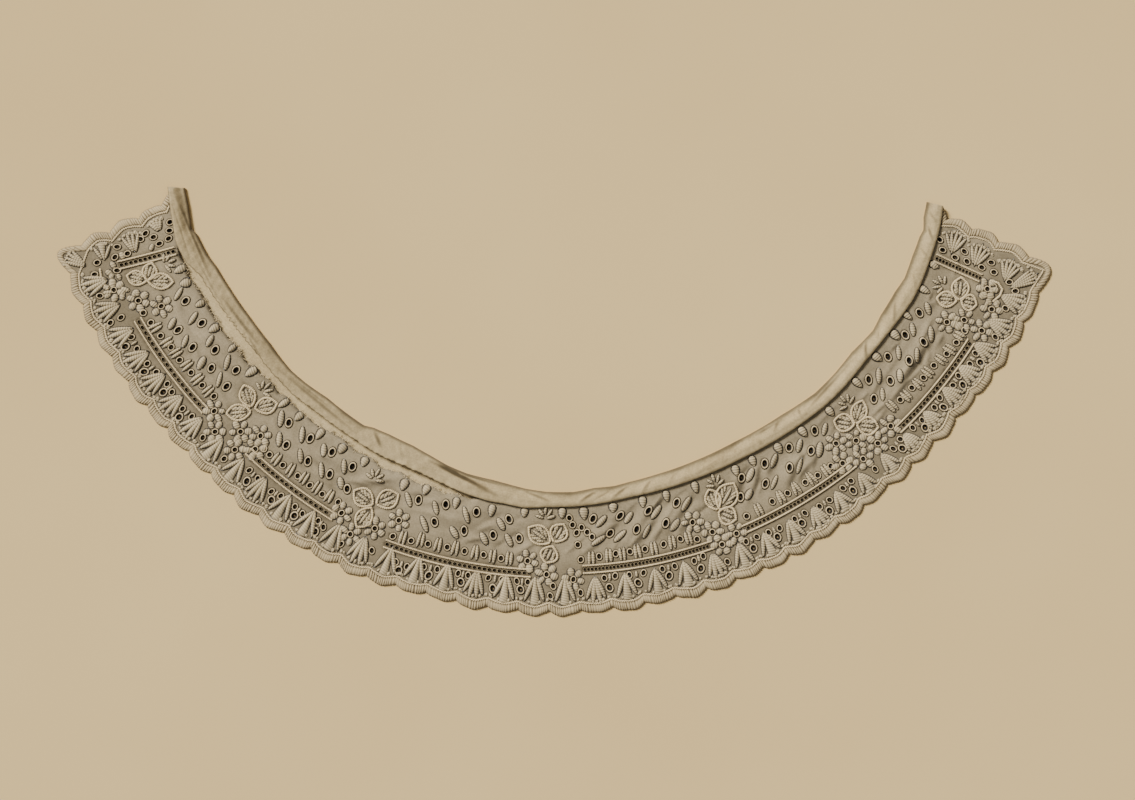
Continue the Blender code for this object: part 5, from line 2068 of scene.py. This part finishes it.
    def place(self, along: Array, across: Array) -> tuple[Array, Array, Array]:
        """Folds the flat strip.

        Args:
            along: Share of the length, left to right.
            across: Share of the width, from the back leaf's edge.

        Returns:
            Corners, shade and map.
        """
        strip = self.lay(along, across)
        slant = 0.7 * smooth((-72.0 - strip.ray) / 5.0)
        x, y = CHART.plan(strip.ray + slant * (394.0 - strip.ring) / 16.0, strip.ring)
        crest = bumps(NECK_CREASES, x, y)
        weave = np.stack((np.radians(strip.ray) * 146.0, across * 21.0), 1)
        return (np.stack((x, y, self.heights(strip, crest)), 1), self.painted_shade(strip, crest), weave)

    def build(self) -> bpy.types.Object:
        """Makes the strip as a thin shell, its outside out.

        Returns:
            The piece.
        """
        cut = shaped_grid(self.columns, self.rows, self.place, False)
        piece = add_piece("neckband_cloth", cut, BAND_LINEN.material(), Slot.BAND)
        return thicken(piece, self.thick)


@dataclass
class Studio:
    """Pale paper, soft light and a camera straight above.

    Args:
        paper: Half the paper's side in metres.
        lens: Focal length in mm.
        distance: Camera's height in metres.
        middle: Where it looks, in metres.
        sky: Strength of the light from all round.
        sky_colour: Its colour.
        lamp_colour: Colour of the lamps.
    """

    paper: float = 3.0
    lens: float = 85.0
    distance: float = 1.005
    middle: tuple[float, float] = (0.00485, 0.00058)
    sky: float = 0.17
    sky_colour: Colour = (1.0, 0.97, 0.92, 1.0)
    lamp_colour: Colour = (1.0, 0.985, 0.96)

    def floor(self) -> None:
        """Lays the paper."""
        made = bmesh.new()
        bmesh.ops.create_grid(made, x_segments=4, y_segments=4, size=self.paper)
        mesh = bpy.data.meshes.new("paper_floor")
        made.to_mesh(mesh)
        made.free()
        mesh.materials.append(PaperFinish().material())
        add_object("paper_floor", mesh)

    def lamp(self, name: str, spot: Sequence[float], power: float, spread: float) -> None:
        """Adds a soft lamp that lights the whole paper evenly.

        Args:
            name: Name of the lamp.
            spot: Where its light comes from.
            power: Watts to a square metre.
            spread: How wide it looks from the paper, in radians.
        """
        light = bpy.data.lights.new(name, "SUN")
        light.energy = power
        light.angle = spread
        light.color = self.lamp_colour
        lamp = add_object(name, light)
        lamp.location = spot
        lamp.rotation_euler = (-Vector(spot)).to_track_quat("-Z", "Y").to_euler()

    def build(self) -> None:
        """Sets floor, lamps, sky and camera."""
        self.floor()
        self.lamp("key_lamp", (-1.08, 1.0, 1.02), 6.55, 0.34)
        self.lamp("fill_lamp", (0.9, -0.7, 1.1), 0.25, 0.75)
        world = bpy.data.worlds.new("soft_sky")
        world.use_nodes = True
        background = world.node_tree.nodes["Background"]
        background.inputs["Color"].default_value = self.sky_colour
        background.inputs["Strength"].default_value = self.sky
        bpy.context.scene.world = world
        lens = bpy.data.cameras.new("top_camera")
        lens.lens = self.lens
        lens.clip_start = 0.01
        camera = add_object("top_camera", lens)
        camera.location = (*self.middle, self.distance)
        bpy.context.scene.camera = camera


def main() -> None:
    """Builds the collar in order and reports its pieces."""
    logging.basicConfig(level=logging.INFO, format="%(name)s: %(message)s")
    edge = ScallopedEdge()
    Studio().build()
    openwork, satin, trefoils = Openwork(), SatinWork(), Trefoils()
    sewn = openwork.build() + satin.build() + trefoils.build()
    sewn += [edge.build_cord(), Fray().build(), edge.build_rim()]
    works = (openwork.rings, openwork.wells, openwork.cords, satin.leaves, satin.fans,
             satin.petals, satin.seeds, trefoils.faces, trefoils.cords)
    cloth = PanelCloth(edge, holes=openwork.holes,
                       marks=[mark for work in works for mark in work.marks])
    band = Neckband().build()
    panel = cloth.build()
    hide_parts("collar_panel")
    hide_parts("neckband")


if __name__ == "__main__":
    main()
